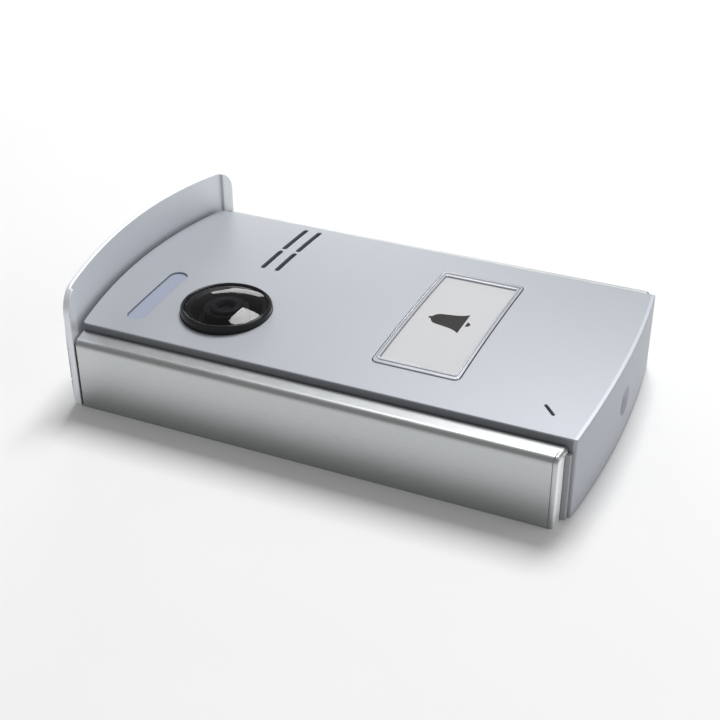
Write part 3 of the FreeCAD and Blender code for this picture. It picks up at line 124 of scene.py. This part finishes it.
class Finish(Nodes):
    """A material with one Principled shader, whose patterns are laid out in the piece's own metres."""

    def __init__(self, name, colour, roughness, **constants):
        self.material = bpy.data.materials.new(name)
        self.material.use_nodes = True
        super().__init__(self.material.node_tree)
        self.shader = self.tree.nodes["Principled BSDF"]
        self.colour = colour
        self.shader.inputs["Base Color"].default_value = (*colour, 1.0)
        self.shader.inputs["Roughness"].default_value = roughness
        for name, value in constants.items():
            self.shader.inputs[name.replace("_", " ")].default_value = value

    def place(self, stretch=(1, 1, 1)):
        """Object coordinates, stretched."""
        coordinates = self.node("ShaderNodeTexCoord", {}, {}, "Object")
        return self.node("ShaderNodeMapping", {}, {"Vector": coordinates, "Scale": stretch})

    def axes(self):
        """The three object coordinates."""
        coordinates = self.node("ShaderNodeTexCoord", {}, {}, "Object")
        split = self.tree.nodes.new("ShaderNodeSeparateXYZ")
        self.tree.links.new(coordinates.socket, split.inputs[0])
        return [Value(self, output) for output in split.outputs]

    def noise(self, size, detail=2.0, stretch=(1, 1, 1), rough=0.5):
        """Cloudy noise from 0 to 1 whose lumps are about size metres across."""
        sockets = {"Vector": self.place(stretch), "Scale": 1 / size, "Detail": detail, "Roughness": rough}
        return self.node("ShaderNodeTexNoise", {}, sockets)

    def cells(self, size, stretch=(1, 1, 1)):
        """The distance from the middle of the nearest of many scattered cells."""
        return self.node(
            "ShaderNodeTexVoronoi", {}, {"Vector": self.place(stretch), "Scale": 1 / size}, "Distance"
        )

    def ramp(self, factor, low, high):
        """Takes low to 0 and high to 1, smoothly."""
        settings = {"interpolation_type": "SMOOTHSTEP"}
        return self.node(
            "ShaderNodeMapRange", settings, {"Value": factor, "From Min": low, "From Max": high}
        )

    def mix(self, factor, first, second):
        """One colour at factor 0 and the other at 1."""
        colours = [c if isinstance(c, Value) else (*c, 1.0) for c in (first, second)]
        settings = {"data_type": "RGBA"}
        return self.node("ShaderNodeMix", settings, {0: factor, 6: colours[0], 7: colours[1]}, 2)

    def shades(self, factor, darker, lighter):
        """The finish's colour, between darker and lighter times itself."""
        dark, light = ([c * share for c in self.colour] for share in (darker, lighter))
        return self.mix(factor, dark, light)

    def drive(self, **sockets):
        """Links values that vary over the surface to the shader."""
        for name, value in sockets.items():
            self.tree.links.new(value.socket, self.shader.inputs[name.replace("_", " ")])
        return self

    def bump(self, height, depth, strength):
        """Raises the surface by up to depth metres where height is 1."""
        return self.node("ShaderNodeBump", {}, {"Height": height, "Distance": depth, "Strength": strength})

    def absolute(self, value):
        return self.node("ShaderNodeMath", {"operation": "ABSOLUTE"}, {0: value})


class Pattern(Nodes):
    """A Geometry Nodes tree with named inputs for its sizes."""

    KINDS = {float: "NodeSocketFloat", int: "NodeSocketInt"}

    def __init__(self, name, **sizes):
        super().__init__(bpy.data.node_groups.new(name, "GeometryNodeTree"))
        self.sizes = sizes
        self.identifiers = {}
        self.add_socket("Geometry", "INPUT", "NodeSocketGeometry")
        self.add_socket("Geometry", "OUTPUT", "NodeSocketGeometry")
        for label, value in sizes.items():
            self.identifiers[label] = self.add_socket(label, "INPUT", self.KINDS[type(value)]).identifier
        self.entry = self.tree.nodes.new("NodeGroupInput")

    def add_socket(self, label, way, kind):
        return self.tree.interface.new_socket(label, in_out=way, socket_type=kind)

    def given(self, *labels):
        """The tree's inputs: the geometry that it works on, or a size."""
        return [Value(self, self.entry.outputs[label]) for label in labels]

    def joined(self, *geometries):
        join = self.tree.nodes.new("GeometryNodeJoinGeometry")
        for geometry in geometries:
            self.tree.links.new(geometry.socket, join.inputs[0])
        return Value(self, join.outputs[0])

    def vector(self, x=0.0, y=0.0, z=0.0):
        return self.node("ShaderNodeCombineXYZ", {}, {0: x, 1: y, 2: z})

    def make(self, name, geometry, finish, spots):
        """Ends the tree and returns its result on the spots as a piece with a plain mesh."""
        solid = self.node("GeometryNodeRealizeInstances", {}, {"Geometry": geometry})
        painted = self.node("GeometryNodeSetMaterial", {}, {"Geometry": solid, "Material": finish.material})
        end = self.tree.nodes.new("NodeGroupOutput")
        self.tree.links.new(painted.socket, end.inputs["Geometry"])
        base = bpy.data.meshes.new(f"{name}_spots")
        base.from_pydata([tuple(spot) for spot in spots], [], [])
        carrier = bpy.data.objects.new(f"{name}_pattern", base)
        bpy.context.scene.collection.objects.link(carrier)
        modifier = carrier.modifiers.new("Pattern", "NODES")
        modifier.node_group = self.tree
        for label, value in self.sizes.items():
            modifier[self.identifiers[label]] = value
        mesh = bpy.data.meshes.new_from_object(carrier.evaluated_get(bpy.context.evaluated_depsgraph_get()))
        bpy.data.objects.remove(carrier)
        mesh.materials.clear()
        mesh.materials.append(finish.material)
        return add_piece(name, mesh)


# Finishes.


def anodised(name, colour, roughness, metal=1.0, drawn=(1, 1, 1), painted_shading=()):
    """Satin anodised aluminium: a fine matte grain with a sparkle, and drawn lines where stretched.

    Each patch is painted light or shade: where the finish is painted darker as shade or lighter as light,
    and by how much.
    """
    finish = Finish(name, colour, roughness, Metallic=metal)
    grain = finish.noise(0.35 * MM, 2.0, drawn)
    sparkle = finish.ramp(finish.noise(0.16 * MM, 1.0), 0.52, 0.75)
    cloud = finish.noise(18 * MM, 2.0)
    shade = 0.6 * grain + 0.25 * sparkle + 0.15 * cloud
    colours = finish.shades(shade, 0.86, 1.14)
    # Painted light and shade: each patch darkens or lightens the colour where less or more light falls.
    for where, darker, lighter in painted_shading:
        colours = finish.mix(where(finish), colours, finish.shades(shade, darker, lighter))
    finish.drive(
        Base_Color=colours,
        Roughness=(roughness - 0.05) + 0.1 * grain + 0.04 * cloud,
        Normal=finish.bump(grain, 0.012 * MM, 0.7),
    )
    return finish


def cover_sides_painted_shade(finish):
    """1 on the cover's long side walls, just below its front, where they are painted darker as shade."""
    across, _, up = finish.axes()
    above_rail = finish.ramp(up, RAIL_TOP - 2.2 * MM, RAIL_TOP - 0.7 * MM)
    below_edge = 1 - finish.ramp(up, COVER_EDGE - 0.5 * MM, COVER_EDGE - 0.25 * MM)
    side = finish.ramp(finish.absolute(across), HALF_COVER - 0.2 * MM, HALF_COVER - 0.05 * MM)
    return side * (above_rail * below_edge)


def lower_end_painted_light(radius, depth):
    """A patch that is 1 on what lies less than about that depth inside a lower end arc of that radius, where
    the end face is painted lighter as light.
    """

    def where(finish):
        across, along, _ = finish.axes()
        along = END_ARC_MIDDLE.y - along
        reach = finish.node("ShaderNodeMath", {"operation": "SQRT"}, {0: across * across + along * along})
        return finish.ramp(reach, radius - depth, radius - depth + 0.25 * MM)

    return where


def rail_painted_shade(finish):
    """Painted shade: rises down the rail's side towards the wall, and again on its rounded edge and top,
    where the rail is painted darker.
    """
    across, _, up = finish.axes()
    side = finish.ramp(finish.absolute(across), HALF_PANEL - 0.4 * MM, HALF_PANEL - 0.1 * MM)
    foot = 0.62 * (1 - finish.ramp(up, -4 * MM, 17 * MM)) * side
    return foot + 0.4 * finish.ramp(up, RAIL_TOP - 2.6 * MM, RAIL_TOP - 1.3 * MM)


def moulded(name, colour, roughness, texture=0.5 * MM, depth=0.02 * MM, **constants):
    """Moulded plastic with a fine spark-eroded texture and slightly uneven gloss."""
    finish = Finish(name, colour, roughness, **constants)
    pits = finish.cells(texture)
    cloud = finish.noise(9 * MM)
    finish.drive(
        Base_Color=finish.shades(0.5 * pits + 0.5 * cloud, 0.88, 1.1),
        Roughness=(roughness - 0.06) + 0.12 * cloud,
        Normal=finish.bump(pits, depth, 0.6),
    )
    return finish


def plated(name, colour, roughness, turned=0.15 * MM):
    """Plated steel or brass with fine tool marks and small stains."""
    finish = Finish(name, colour, roughness, Metallic=1.0)
    marks = finish.noise(turned, 2.0, (1, 1, 4))
    stains = finish.ramp(finish.noise(1.6 * MM, 3.0), 0.5, 0.7)
    finish.drive(
        Base_Color=finish.shades(marks * (1 - 0.4 * stains), 0.7, 1.1),
        Roughness=roughness + 0.12 * marks + 0.1 * stains,
        Normal=finish.bump(marks, 0.006 * MM, 0.6),
    )
    return finish


def rubber(name):
    finish = Finish(name, (0.03, 0.03, 0.032), 0.7)
    dust = finish.noise(0.5 * MM, 4.0)
    finish.drive(
        Base_Color=finish.shades(dust, 0.7, 1.7),
        Roughness=0.62 + 0.2 * dust,
        Normal=finish.bump(dust, 0.02 * MM, 0.5),
    )
    return finish


def circuit_board(name):
    """Green lacquer over a grid of copper tracks, with tinned pads."""
    finish = Finish(name, (0.02, 0.14, 0.06), 0.35)
    grid = {"Scale": 1 / (9 * MM), "Mortar Size": 0.03, "Brick Width": 0.8, "Row Height": 0.22}
    tracks = finish.node(
        "ShaderNodeTexBrick",
        {"offset": 0.5, "squash": 0.7},
        {"Vector": finish.place(), **grid},
        "Fac",
    )
    pads = 1 - finish.ramp(finish.cells(3.2 * MM), 0.16, 0.2)
    lacquer = finish.mix(tracks, finish.colour, (0.05, 0.26, 0.1))
    finish.drive(
        Base_Color=finish.mix(pads, lacquer, (0.62, 0.6, 0.55)),
        Metallic=pads * 0.9,
        Roughness=0.35 + 0.1 * finish.noise(2 * MM),
        Normal=finish.bump(tracks + pads, 0.03 * MM, 0.7),
    )
    return finish


def clear(name, tint, smoothness, ior, shine=1.1, haze=0.01):
    """Clear moulding or glass: what is behind it shows, and its surface mirrors more at a shallow angle."""
    finish = Finish(name, tint, smoothness, IOR=ior)
    tree = finish.tree
    see_through = tree.nodes.new("ShaderNodeBsdfTransparent")
    see_through.inputs["Color"].default_value = (*tint, 1.0)
    gloss = tree.nodes.new("ShaderNodeBsdfGlossy")
    gloss.inputs["Color"].default_value = WHITE
    gloss.inputs["Roughness"].default_value = smoothness
    smear = finish.noise(6 * MM, 3.0)
    outside = 1 - finish.node("ShaderNodeNewGeometry", {}, {}, "Backfacing")
    mirror = (finish.node("ShaderNodeFresnel", {}, {"IOR": ior}) * shine + haze * smear) * outside
    mixer = tree.nodes.new("ShaderNodeMixShader")
    tree.links.new(mirror.socket, mixer.inputs[0])
    tree.links.new(see_through.outputs[0], mixer.inputs[1])
    tree.links.new(gloss.outputs[0], mixer.inputs[2])
    tree.links.new(mixer.outputs[0], tree.nodes["Material Output"].inputs["Surface"])
    tree.nodes.remove(finish.shader)
    return finish


def card(name, colour):
    """Smooth card with short fibres."""
    finish = Finish(name, colour, 0.55)
    fibres = finish.noise(0.3 * MM, 3.0, (1, 5, 1)) * 0.5 + finish.noise(0.3 * MM, 3.0, (5, 1, 1)) * 0.5
    finish.drive(
        Base_Color=finish.shades(fibres, 0.95, 1.04),
        Roughness=0.5 + 0.15 * fibres,
        Normal=finish.bump(fibres, 0.008 * MM, 0.4),
    )
    return finish


def diffuser(name, colour, painted_glow):
    """Frosted plastic with fine prisms across it, with a faint painted glow that stands in for light from
    behind.
    """
    finish = Finish(name, colour, 0.45, Emission_Strength=painted_glow)
    prisms = finish.node(
        "ShaderNodeTexWave", {"bands_direction": "X"}, {"Vector": finish.place(), "Scale": 1 / (4 * MM)}
    )
    frost = finish.noise(0.25 * MM, 2.0)
    shade = finish.shades(0.5 * prisms + 0.5 * frost, 0.92, 1.06)
    finish.drive(
        Base_Color=shade,
        Emission_Color=shade,
        Roughness=0.4 + 0.15 * frost,
        Normal=finish.bump(0.6 * prisms + 0.4 * frost, 0.02 * MM, 0.5),
    )
    return finish


FINISHES = {
    "front_aluminium": anodised(
        "front_anodised",
        (0.375, 0.395, 0.43),
        0.5,
        0.35,
        # Painted shade on the cover's side walls and painted light on its lower end face.
        painted_shading=[(cover_sides_painted_shade, 0.62, 0.72), (lower_end_painted_light(COVER_END, 1.3 * MM), 1.15, 1.4)],
    ),
    "rail_aluminium": anodised(
        "rail_anodised",
        (0.6, 0.62, 0.625),
        0.38,
        1.0,
        (1, 0.12, 1),
        # Painted shade down the rails' sides and on their tops, and painted light on the end caps' end
        # faces.
        [(rail_painted_shade, 0.36, 0.46), (lower_end_painted_light(RAIL_END, 0.4 * MM), 1.35, 1.6)],
    ),
    "box_plastic": moulded("box_plastic", (0.42, 0.43, 0.44), 0.5),
    "chassis_plastic": moulded("chassis_plastic", (0.045, 0.046, 0.05), 0.45),
    "rubber": rubber("soft_rubber"),
    "steel": plated("zinc_plate", (0.6, 0.6, 0.58), 0.3),
    "black_gloss": moulded("bezel_gloss", (0.006, 0.006, 0.007), 0.12, 0.8 * MM, 0.001 * MM),
    "black_matte": moulded(
        "matte_black", (0.004, 0.004, 0.005), 0.34, 0.3 * MM, 0.006 * MM, Specular_IOR_Level=0.22
    ),
    "clear_plastic": clear("clear_acrylic", (0.97, 0.97, 0.97), 0.04, 1.49),
    "lens_glass": clear("coated_glass", (0.3, 0.32, 0.42), 0.02, 1.8),
    "circuit_board": circuit_board("board_lacquer"),
    "ribbon_film": moulded("ribbon_film", (0.45, 0.2, 0.03), 0.25, 1.2 * MM, 0.01 * MM),
    # The window's faint glow is painted light.
    "diffuser": diffuser("frosted_window", (0.31, 0.345, 0.44), 0.03),
    "led_resin": moulded("led_resin", (0.85, 0.75, 0.3), 0.2, 0.6 * MM, 0.004 * MM),
    "speaker_cloth": rubber("speaker_cloth"),
    "speaker_metal": plated("pressed_steel", (0.42, 0.42, 0.43), 0.35),
    "speaker_paper": card("cone_fibre", (0.04, 0.04, 0.042)),
    "wire_red": moulded("wire_sleeve", (0.4, 0.02, 0.02), 0.35, 0.7 * MM, 0.01 * MM),
    "terminal_green": moulded("terminal_plastic", (0.03, 0.22, 0.1), 0.42),
    "relay_case": moulded("relay_plastic", (0.03, 0.06, 0.2), 0.3),
    "capacitor_sleeve": moulded("capacitor_sleeve", (0.03, 0.035, 0.05), 0.25, 0.7 * MM, 0.01 * MM),
    "label": card("label_card", (0.7, 0.705, 0.725)),
    "ink": moulded("printed_ink", (0.006, 0.006, 0.008), 0.6, 0.2 * MM, 0.004 * MM, Specular_IOR_Level=0.15),
    "brass": plated("turned_brass", (0.72, 0.52, 0.22), 0.28),
}


# Pieces.


def add_piece(name, mesh):
    piece = bpy.data.objects.new(name, mesh)
    bpy.context.scene.collection.objects.link(piece)
    return piece


def slot_of(node):
    return next(part["material_slot"] for part in frame["record"]["subparts"] if part["node"] == node)


def body_of(node):
    return next(body for body, nodes in BODIES.items() if node in nodes)


def stand_for(piece, *nodes):
    """The piece takes the place of CAD nodes on their body."""
    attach(piece, body_of(nodes[0]))
    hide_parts(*nodes)
    return piece


def shade_smooth(mesh, limit=40):
    for face in mesh.polygons:
        face.use_smooth = True
    mesh.set_sharp_from_angle(angle=math.radians(limit))


def round_sharp_edges(shape, width, segments, chosen):
    """Rounds the edges of more than 35 degrees for which chosen is true."""
    limit = math.radians(35)
    edges = [e for e in shape.edges if len(e.link_faces) == 2 and e.calc_face_angle() > limit and chosen(e)]
    bmesh.ops.bevel(
        shape, geom=edges, offset=width, segments=segments, profile=0.5, affect="EDGES", clamp_overlap=False
    )


def eased(node, width, segments=2, rounder=None, chosen=lambda edge: True, finish=None):
    """The node's shape with its chosen sharp edges broken by a small round.

    A rounder holds the width, segments and choice of the edges that are rounded more, before the rest.
    """
    shape = bmesh.new()
    shape.from_mesh(frame["nodes"][node].data)
    bmesh.ops.remove_doubles(shape, verts=shape.verts, dist=0.001 * MM)
    bmesh.ops.dissolve_limit(
        shape, angle_limit=math.radians(0.1), verts=shape.verts, edges=shape.edges, delimit=set()
    )
    if rounder:
        round_sharp_edges(shape, *rounder)
    round_sharp_edges(shape, width, segments, chosen)
    mesh = bpy.data.meshes.new(f"{node}_eased")
    shape.to_mesh(mesh)
    shape.free()
    mesh.materials.clear()
    mesh.materials.append((finish or FINISHES[slot_of(node)]).material)
    piece = add_piece(f"{node}_eased", mesh)
    shade_smooth(mesh)
    weigh = piece.modifiers.new("Weigh normals", "WEIGHTED_NORMAL")
    weigh.keep_sharp = True
    return stand_for(piece, node)


def on_end_arc(edge, radius):
    """Whether the edge lies at that distance from the centre of the panel's lower end arc."""
    return all(abs((v.co - END_ARC_MIDDLE).xy.length - radius) < 0.06 * MM for v in edge.verts)


def rail_seam(edge):
    """Whether the edge is where a rail meets its end cap."""
    return on_end_arc(edge, RAIL_SEAM)


def not_rail_seam(edge):
    return not rail_seam(edge)


def rail_end_corner(edge):
    """The end cap's outer edges: over its top and down its outer corner."""
    inner = all(abs(v.co.x) < 46 * MM and v.co.z < 21 * MM for v in edge.verts)
    return on_end_arc(edge, RAIL_END) and not inner and max(v.co.z for v in edge.verts) > 1 * MM


# The call button's rim.

CROWN_RADIUS = 544.67 * MM
CROWN_TOP = 27.3 * MM
BUTTON_MIDDLE = Vector((0, -25.55)) * MM
BUTTON_HALF = Vector((29.75, 13.35)) * MM
BORDER = Vector((2.75, 1.5)) * MM
CORNERS = (1.8 * MM, 0.6 * MM)
# Each point of the rim's section: how far across the border, from its outside, and how many mm it stands up.
RIM_SECTION = (
    (0.03, -1.2), (0.03, 0.02), (0.1, 0.2), (0.4, 0.2), (0.46, -0.02), (0.6, -0.02), (0.66, 0.22),
    (0.93, 0.22), (1.0, 0.14), (1.0, -0.42),
)


def crown(x, above):
    """The height of the cover's crowned face, moved out by above."""
    return CROWN_TOP - CROWN_RADIUS + math.sqrt((CROWN_RADIUS + above) ** 2 - x * x)


def rounded_rectangle(half, corner, steps=6, pieces=24):
    """Points round a rectangle with round corners, with extra ones along its long sides."""
    points = []
    for quarter, (a, b) in enumerate(((1, 1), (-1, 1), (-1, -1), (1, -1))):
        middle = Vector((a * (half.x - corner), b * (half.y - corner)))
        for i in range(steps + 1):
            angle = math.pi / 2 * (quarter + i / steps)
            points.append(middle + corner * Vector((math.cos(angle), math.sin(angle))))
        if quarter % 2 == 0:
            start = points[-1]
            run = -2 * a * (half.x - corner)
            points += [start + Vector((run * i / pieces, 0)) for i in range(1, pieces)]
    return points


def button_rim():
    """The frame inside the clear cap: a flat step, a groove and a ridge that stands round the label."""
    vertices, faces = [], []
    for inward, height in RIM_SECTION:
        half = BUTTON_HALF - inward * BORDER
        corner = CORNERS[0] + inward * (CORNERS[1] - CORNERS[0])
        for spot in rounded_rectangle(half, corner):
            vertices.append((spot.x, spot.y + BUTTON_MIDDLE.y, crown(spot.x, height * MM)))
    count = len(vertices) // len(RIM_SECTION)
    for near in range(0, count * (len(RIM_SECTION) - 1), count):
        far = near + count
        for i in range(count):
            j = (i + 1) % count
            faces.append((near + i, near + j, far + j, far + i))
    mesh = bpy.data.meshes.new("button_rim")
    mesh.from_pydata(vertices, [], faces)
    finish = moulded("rim_satin", (0.5, 0.52, 0.56), 0.34, 0.25 * MM, 0.004 * MM, Metallic=0.5)
    mesh.materials.append(finish.material)
    shade_smooth(mesh, 25)
    piece = add_piece("button_rim", mesh)
    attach(piece, "call_button")


# Pieces that repeat.

SPEAKER_MIDDLE = Vector((23.7, 39.6, 23.66)) * MM
BOARD_FACE = 13.6
TERMINAL_PINS = [(5 * i - 12.5, -55) for i in range(6)]
RELAY_PINS = [(-23.3 + a, -35.7 + b) for a, b in ((-6, 0), (-3, 3.8), (-3, -3.8), (6, 3.8), (6, -3.8))]
CAPACITOR_PINS = [(x + a, -36) for x in (17, 26.5) for a in (-1.75, 1.75)]
TRIMMER_PINS = [(-24 + a, -8 + b) for a, b in ((-2.5, -2.5), (2.5, -2.5), (0, 2.5))]


def speaker_weave():
    """A plain weave of dark threads behind the speaker slots, cut to the speaker's circle."""
    weave = Pattern("plain_weave", Radius=17 * MM, Pitch=0.9 * MM, Thread=0.055 * MM, Pairs=19, Samples=120)
    spot, radius, pitch, thread, pairs, samples = weave.given(
        "Geometry", "Radius", "Pitch", "Thread", "Pairs", "Samples"
    )
    place = weave.node("GeometryNodeInputPosition", {}, {})
    section = weave.node("GeometryNodeCurvePrimitiveCircle", {}, {"Resolution": 3, "Radius": thread})
    ends = {"Start": weave.vector(-1 * radius), "End": weave.vector(radius)}
    line = weave.node("GeometryNodeCurvePrimitiveLine", {}, ends)
    line = weave.node("GeometryNodeResampleCurve", {}, {"Curve": line, "Count": samples})
    along = weave.node("ShaderNodeSeparateXYZ", {}, {0: place})
    layers = []
    for turn, first_side in ((0.0, 1.0), (math.pi / 2, -1.0)):
        for half_step, side in ((0.0, first_side), (0.5, -first_side)):
            wave = weave.node("ShaderNodeMath", {"operation": "SINE"}, {0: along * math.pi / pitch})
            lift = weave.vector(z=wave * thread * side)
            waved = weave.node("GeometryNodeSetPosition", {}, {"Geometry": line, "Offset": lift})
            row = weave.node(
                "GeometryNodeMeshLine",
                {},
                {
                    "Count": pairs,
                    "Start Location": weave.vector(y=2 * pitch * half_step + pitch / 2 - 1 * radius),
                    "Offset": weave.vector(y=2 * pitch),
                },
            )
            threads = weave.node("GeometryNodeInstanceOnPoints", {}, {"Points": row, "Instance": waved})
            layers.append(
                weave.node("GeometryNodeTransform", {}, {"Geometry": threads, "Rotation": (0, 0, turn)})
            )
    curves = weave.node("GeometryNodeRealizeInstances", {}, {"Geometry": weave.joined(*layers)})
    cloth = weave.node("GeometryNodeCurveToMesh", {}, {"Curve": curves, "Profile Curve": section})
    reach = weave.node("ShaderNodeVectorMath", {"operation": "LENGTH"}, {0: place}, "Value")
    outside = weave.node("FunctionNodeCompare", {"operation": "GREATER_THAN"}, {0: reach, 1: radius})
    disc = weave.node("GeometryNodeDeleteGeometry", {}, {"Geometry": cloth, "Selection": outside})
    laid = weave.node("GeometryNodeInstanceOnPoints", {}, {"Points": spot, "Instance": disc})
    piece = weave.make("speaker_weave", laid, FINISHES["speaker_cloth"], [SPEAKER_MIDDLE])
    stand_for(piece, "speaker_mesh")


def solder_joints():
    """A tinned fillet round each pin that comes through the main board."""
    joint = Pattern("solder_joint", Foot=0.85 * MM, Pin=0.3 * MM, Height=0.75 * MM)
    spots, foot, pin, height = joint.given("Geometry", "Foot", "Pin", "Height")
    fillet = joint.node(
        "GeometryNodeMeshCone",
        {},
        {"Vertices": 14, "Side Segments": 4, "Radius Top": pin, "Radius Bottom": foot, "Depth": height},
    )
    rounded = joint.node("GeometryNodeSubdivisionSurface", {}, {"Mesh": fillet, "Level": 1})
    laid = joint.node("GeometryNodeInstanceOnPoints", {}, {"Points": spots, "Instance": rounded})
    pins = TERMINAL_PINS + RELAY_PINS + CAPACITOR_PINS + TRIMMER_PINS
    places = [Vector((x, y, BOARD_FACE)) * MM for x, y in pins]
    piece = joint.make("solder_joints", laid, FINISHES["steel"], places)
    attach(piece, "front")


for node, piece in frame["nodes"].items():
    piece.data.materials.clear()
    piece.data.materials.append(FINISHES[slot_of(node)].material)

eased("front_cover", 0.12 * MM)
for rail in ("left_rail", "right_rail"):
    eased(rail, 0.2 * MM, chosen=not_rail_seam)
eased("bottom_end_caps", 0.1 * MM, rounder=(1.25 * MM, 8, rail_end_corner), chosen=not_rail_seam)
eased("visor", 0.35 * MM, 3, finish=anodised("hood_anodised", (0.88, 0.905, 0.95), 0.45, 0.45))
eased("camera_bezel", 0.12 * MM, 3)
smoked = clear("clear_dome", (0.7, 0.71, 0.74), 0.02, 1.5, 0.42)
frame["nodes"]["camera_dome"].data.materials[0] = smoked.material
button_rim()
speaker_weave()
solder_joints()


# Stage, lights and camera.

AIM = Vector((8.55, 8.35, 0)) * MM
CAMERA_AZIMUTH = -65.77
CAMERA_ELEVATION = 31.79
CAMERA_ROLL = -0.33
CAMERA_DISTANCE = 431.9 * MM
CAMERA_LENS = 66.61
FLOOR_REACH = 3.0
FLOOR_GAP = 0.02 * MM
WORLD_BRIGHTNESS = 0.33
# Each softbox: azimuth and elevation in degrees, then distance, width and height in metres, and watts.
SOFTBOXES = {
    "key": (94, 60, 2.2, 0.7, 1.0, 40),
    "strip": (117, 10, 1.6, 0.62, 0.4, 4),
    "fill": (10, 35, 1.1, 0.9, 0.7, 1.5),
}


def direction(azimuth, elevation):
    """From the object outwards: azimuth 0 is in front of its lower end."""
    a, e = math.radians(azimuth), math.radians(elevation)
    return Vector((math.sin(a) * math.cos(e), -math.cos(a) * math.cos(e), math.sin(e)))


def add_softbox(name, azimuth, elevation, distance, width, height, watts):
    lamp = bpy.data.lights.new(name, "AREA")
    lamp.shape, lamp.size, lamp.size_y = "RECTANGLE", width, height
    lamp.energy = watts
    box = bpy.data.objects.new(name, lamp)
    outwards = direction(azimuth, elevation)
    box.location = AIM + outwards * distance
    box.rotation_mode = "QUATERNION"
    box.rotation_quaternion = outwards.to_track_quat("Z", "Y")
    bpy.context.scene.collection.objects.link(box)


def add_floor():
    finish = Finish("floor_paint", (0.86, 0.86, 0.86), 0.7)
    finish.drive(Base_Color=finish.shades(finish.noise(40 * MM), 0.985, 1.01))
    mesh = bpy.data.meshes.new("floor")
    corners = [(x * FLOOR_REACH, y * FLOOR_REACH, 0) for x, y in ((-1, -1), (1, -1), (1, 1), (-1, 1))]
    mesh.from_pydata(corners, [], [(0, 1, 2, 3)])
    mesh.materials.append(finish.material)
    floor = add_piece("floor", mesh)
    floor.location.z = cad_low.z - FLOOR_GAP


def add_world():
    world = bpy.data.worlds.new("studio")
    world.use_nodes = True
    world.node_tree.nodes["Background"].inputs["Color"].default_value = (*[WORLD_BRIGHTNESS] * 3, 1.0)
    bpy.context.scene.world = world


def add_camera():
    lens = bpy.data.cameras.new("camera")
    lens.lens, lens.sensor_width = CAMERA_LENS, 36.0
    lens.clip_start, lens.clip_end = 0.01, 20
    camera = bpy.data.objects.new("camera", lens)
    back = direction(CAMERA_AZIMUTH, CAMERA_ELEVATION)
    camera.location = AIM + back * CAMERA_DISTANCE
    camera.rotation_mode = "QUATERNION"
    upright = (-back).to_track_quat("-Z", "Y")
    camera.rotation_quaternion = upright @ Matrix.Rotation(math.radians(CAMERA_ROLL), 3, "Z").to_quaternion()
    bpy.context.scene.collection.objects.link(camera)
    bpy.context.scene.camera = camera


add_floor()
add_world()
for name, settings in SOFTBOXES.items():
    add_softbox(name, *settings)
add_camera()
bpy.context.scene.view_settings.view_transform = "Standard"
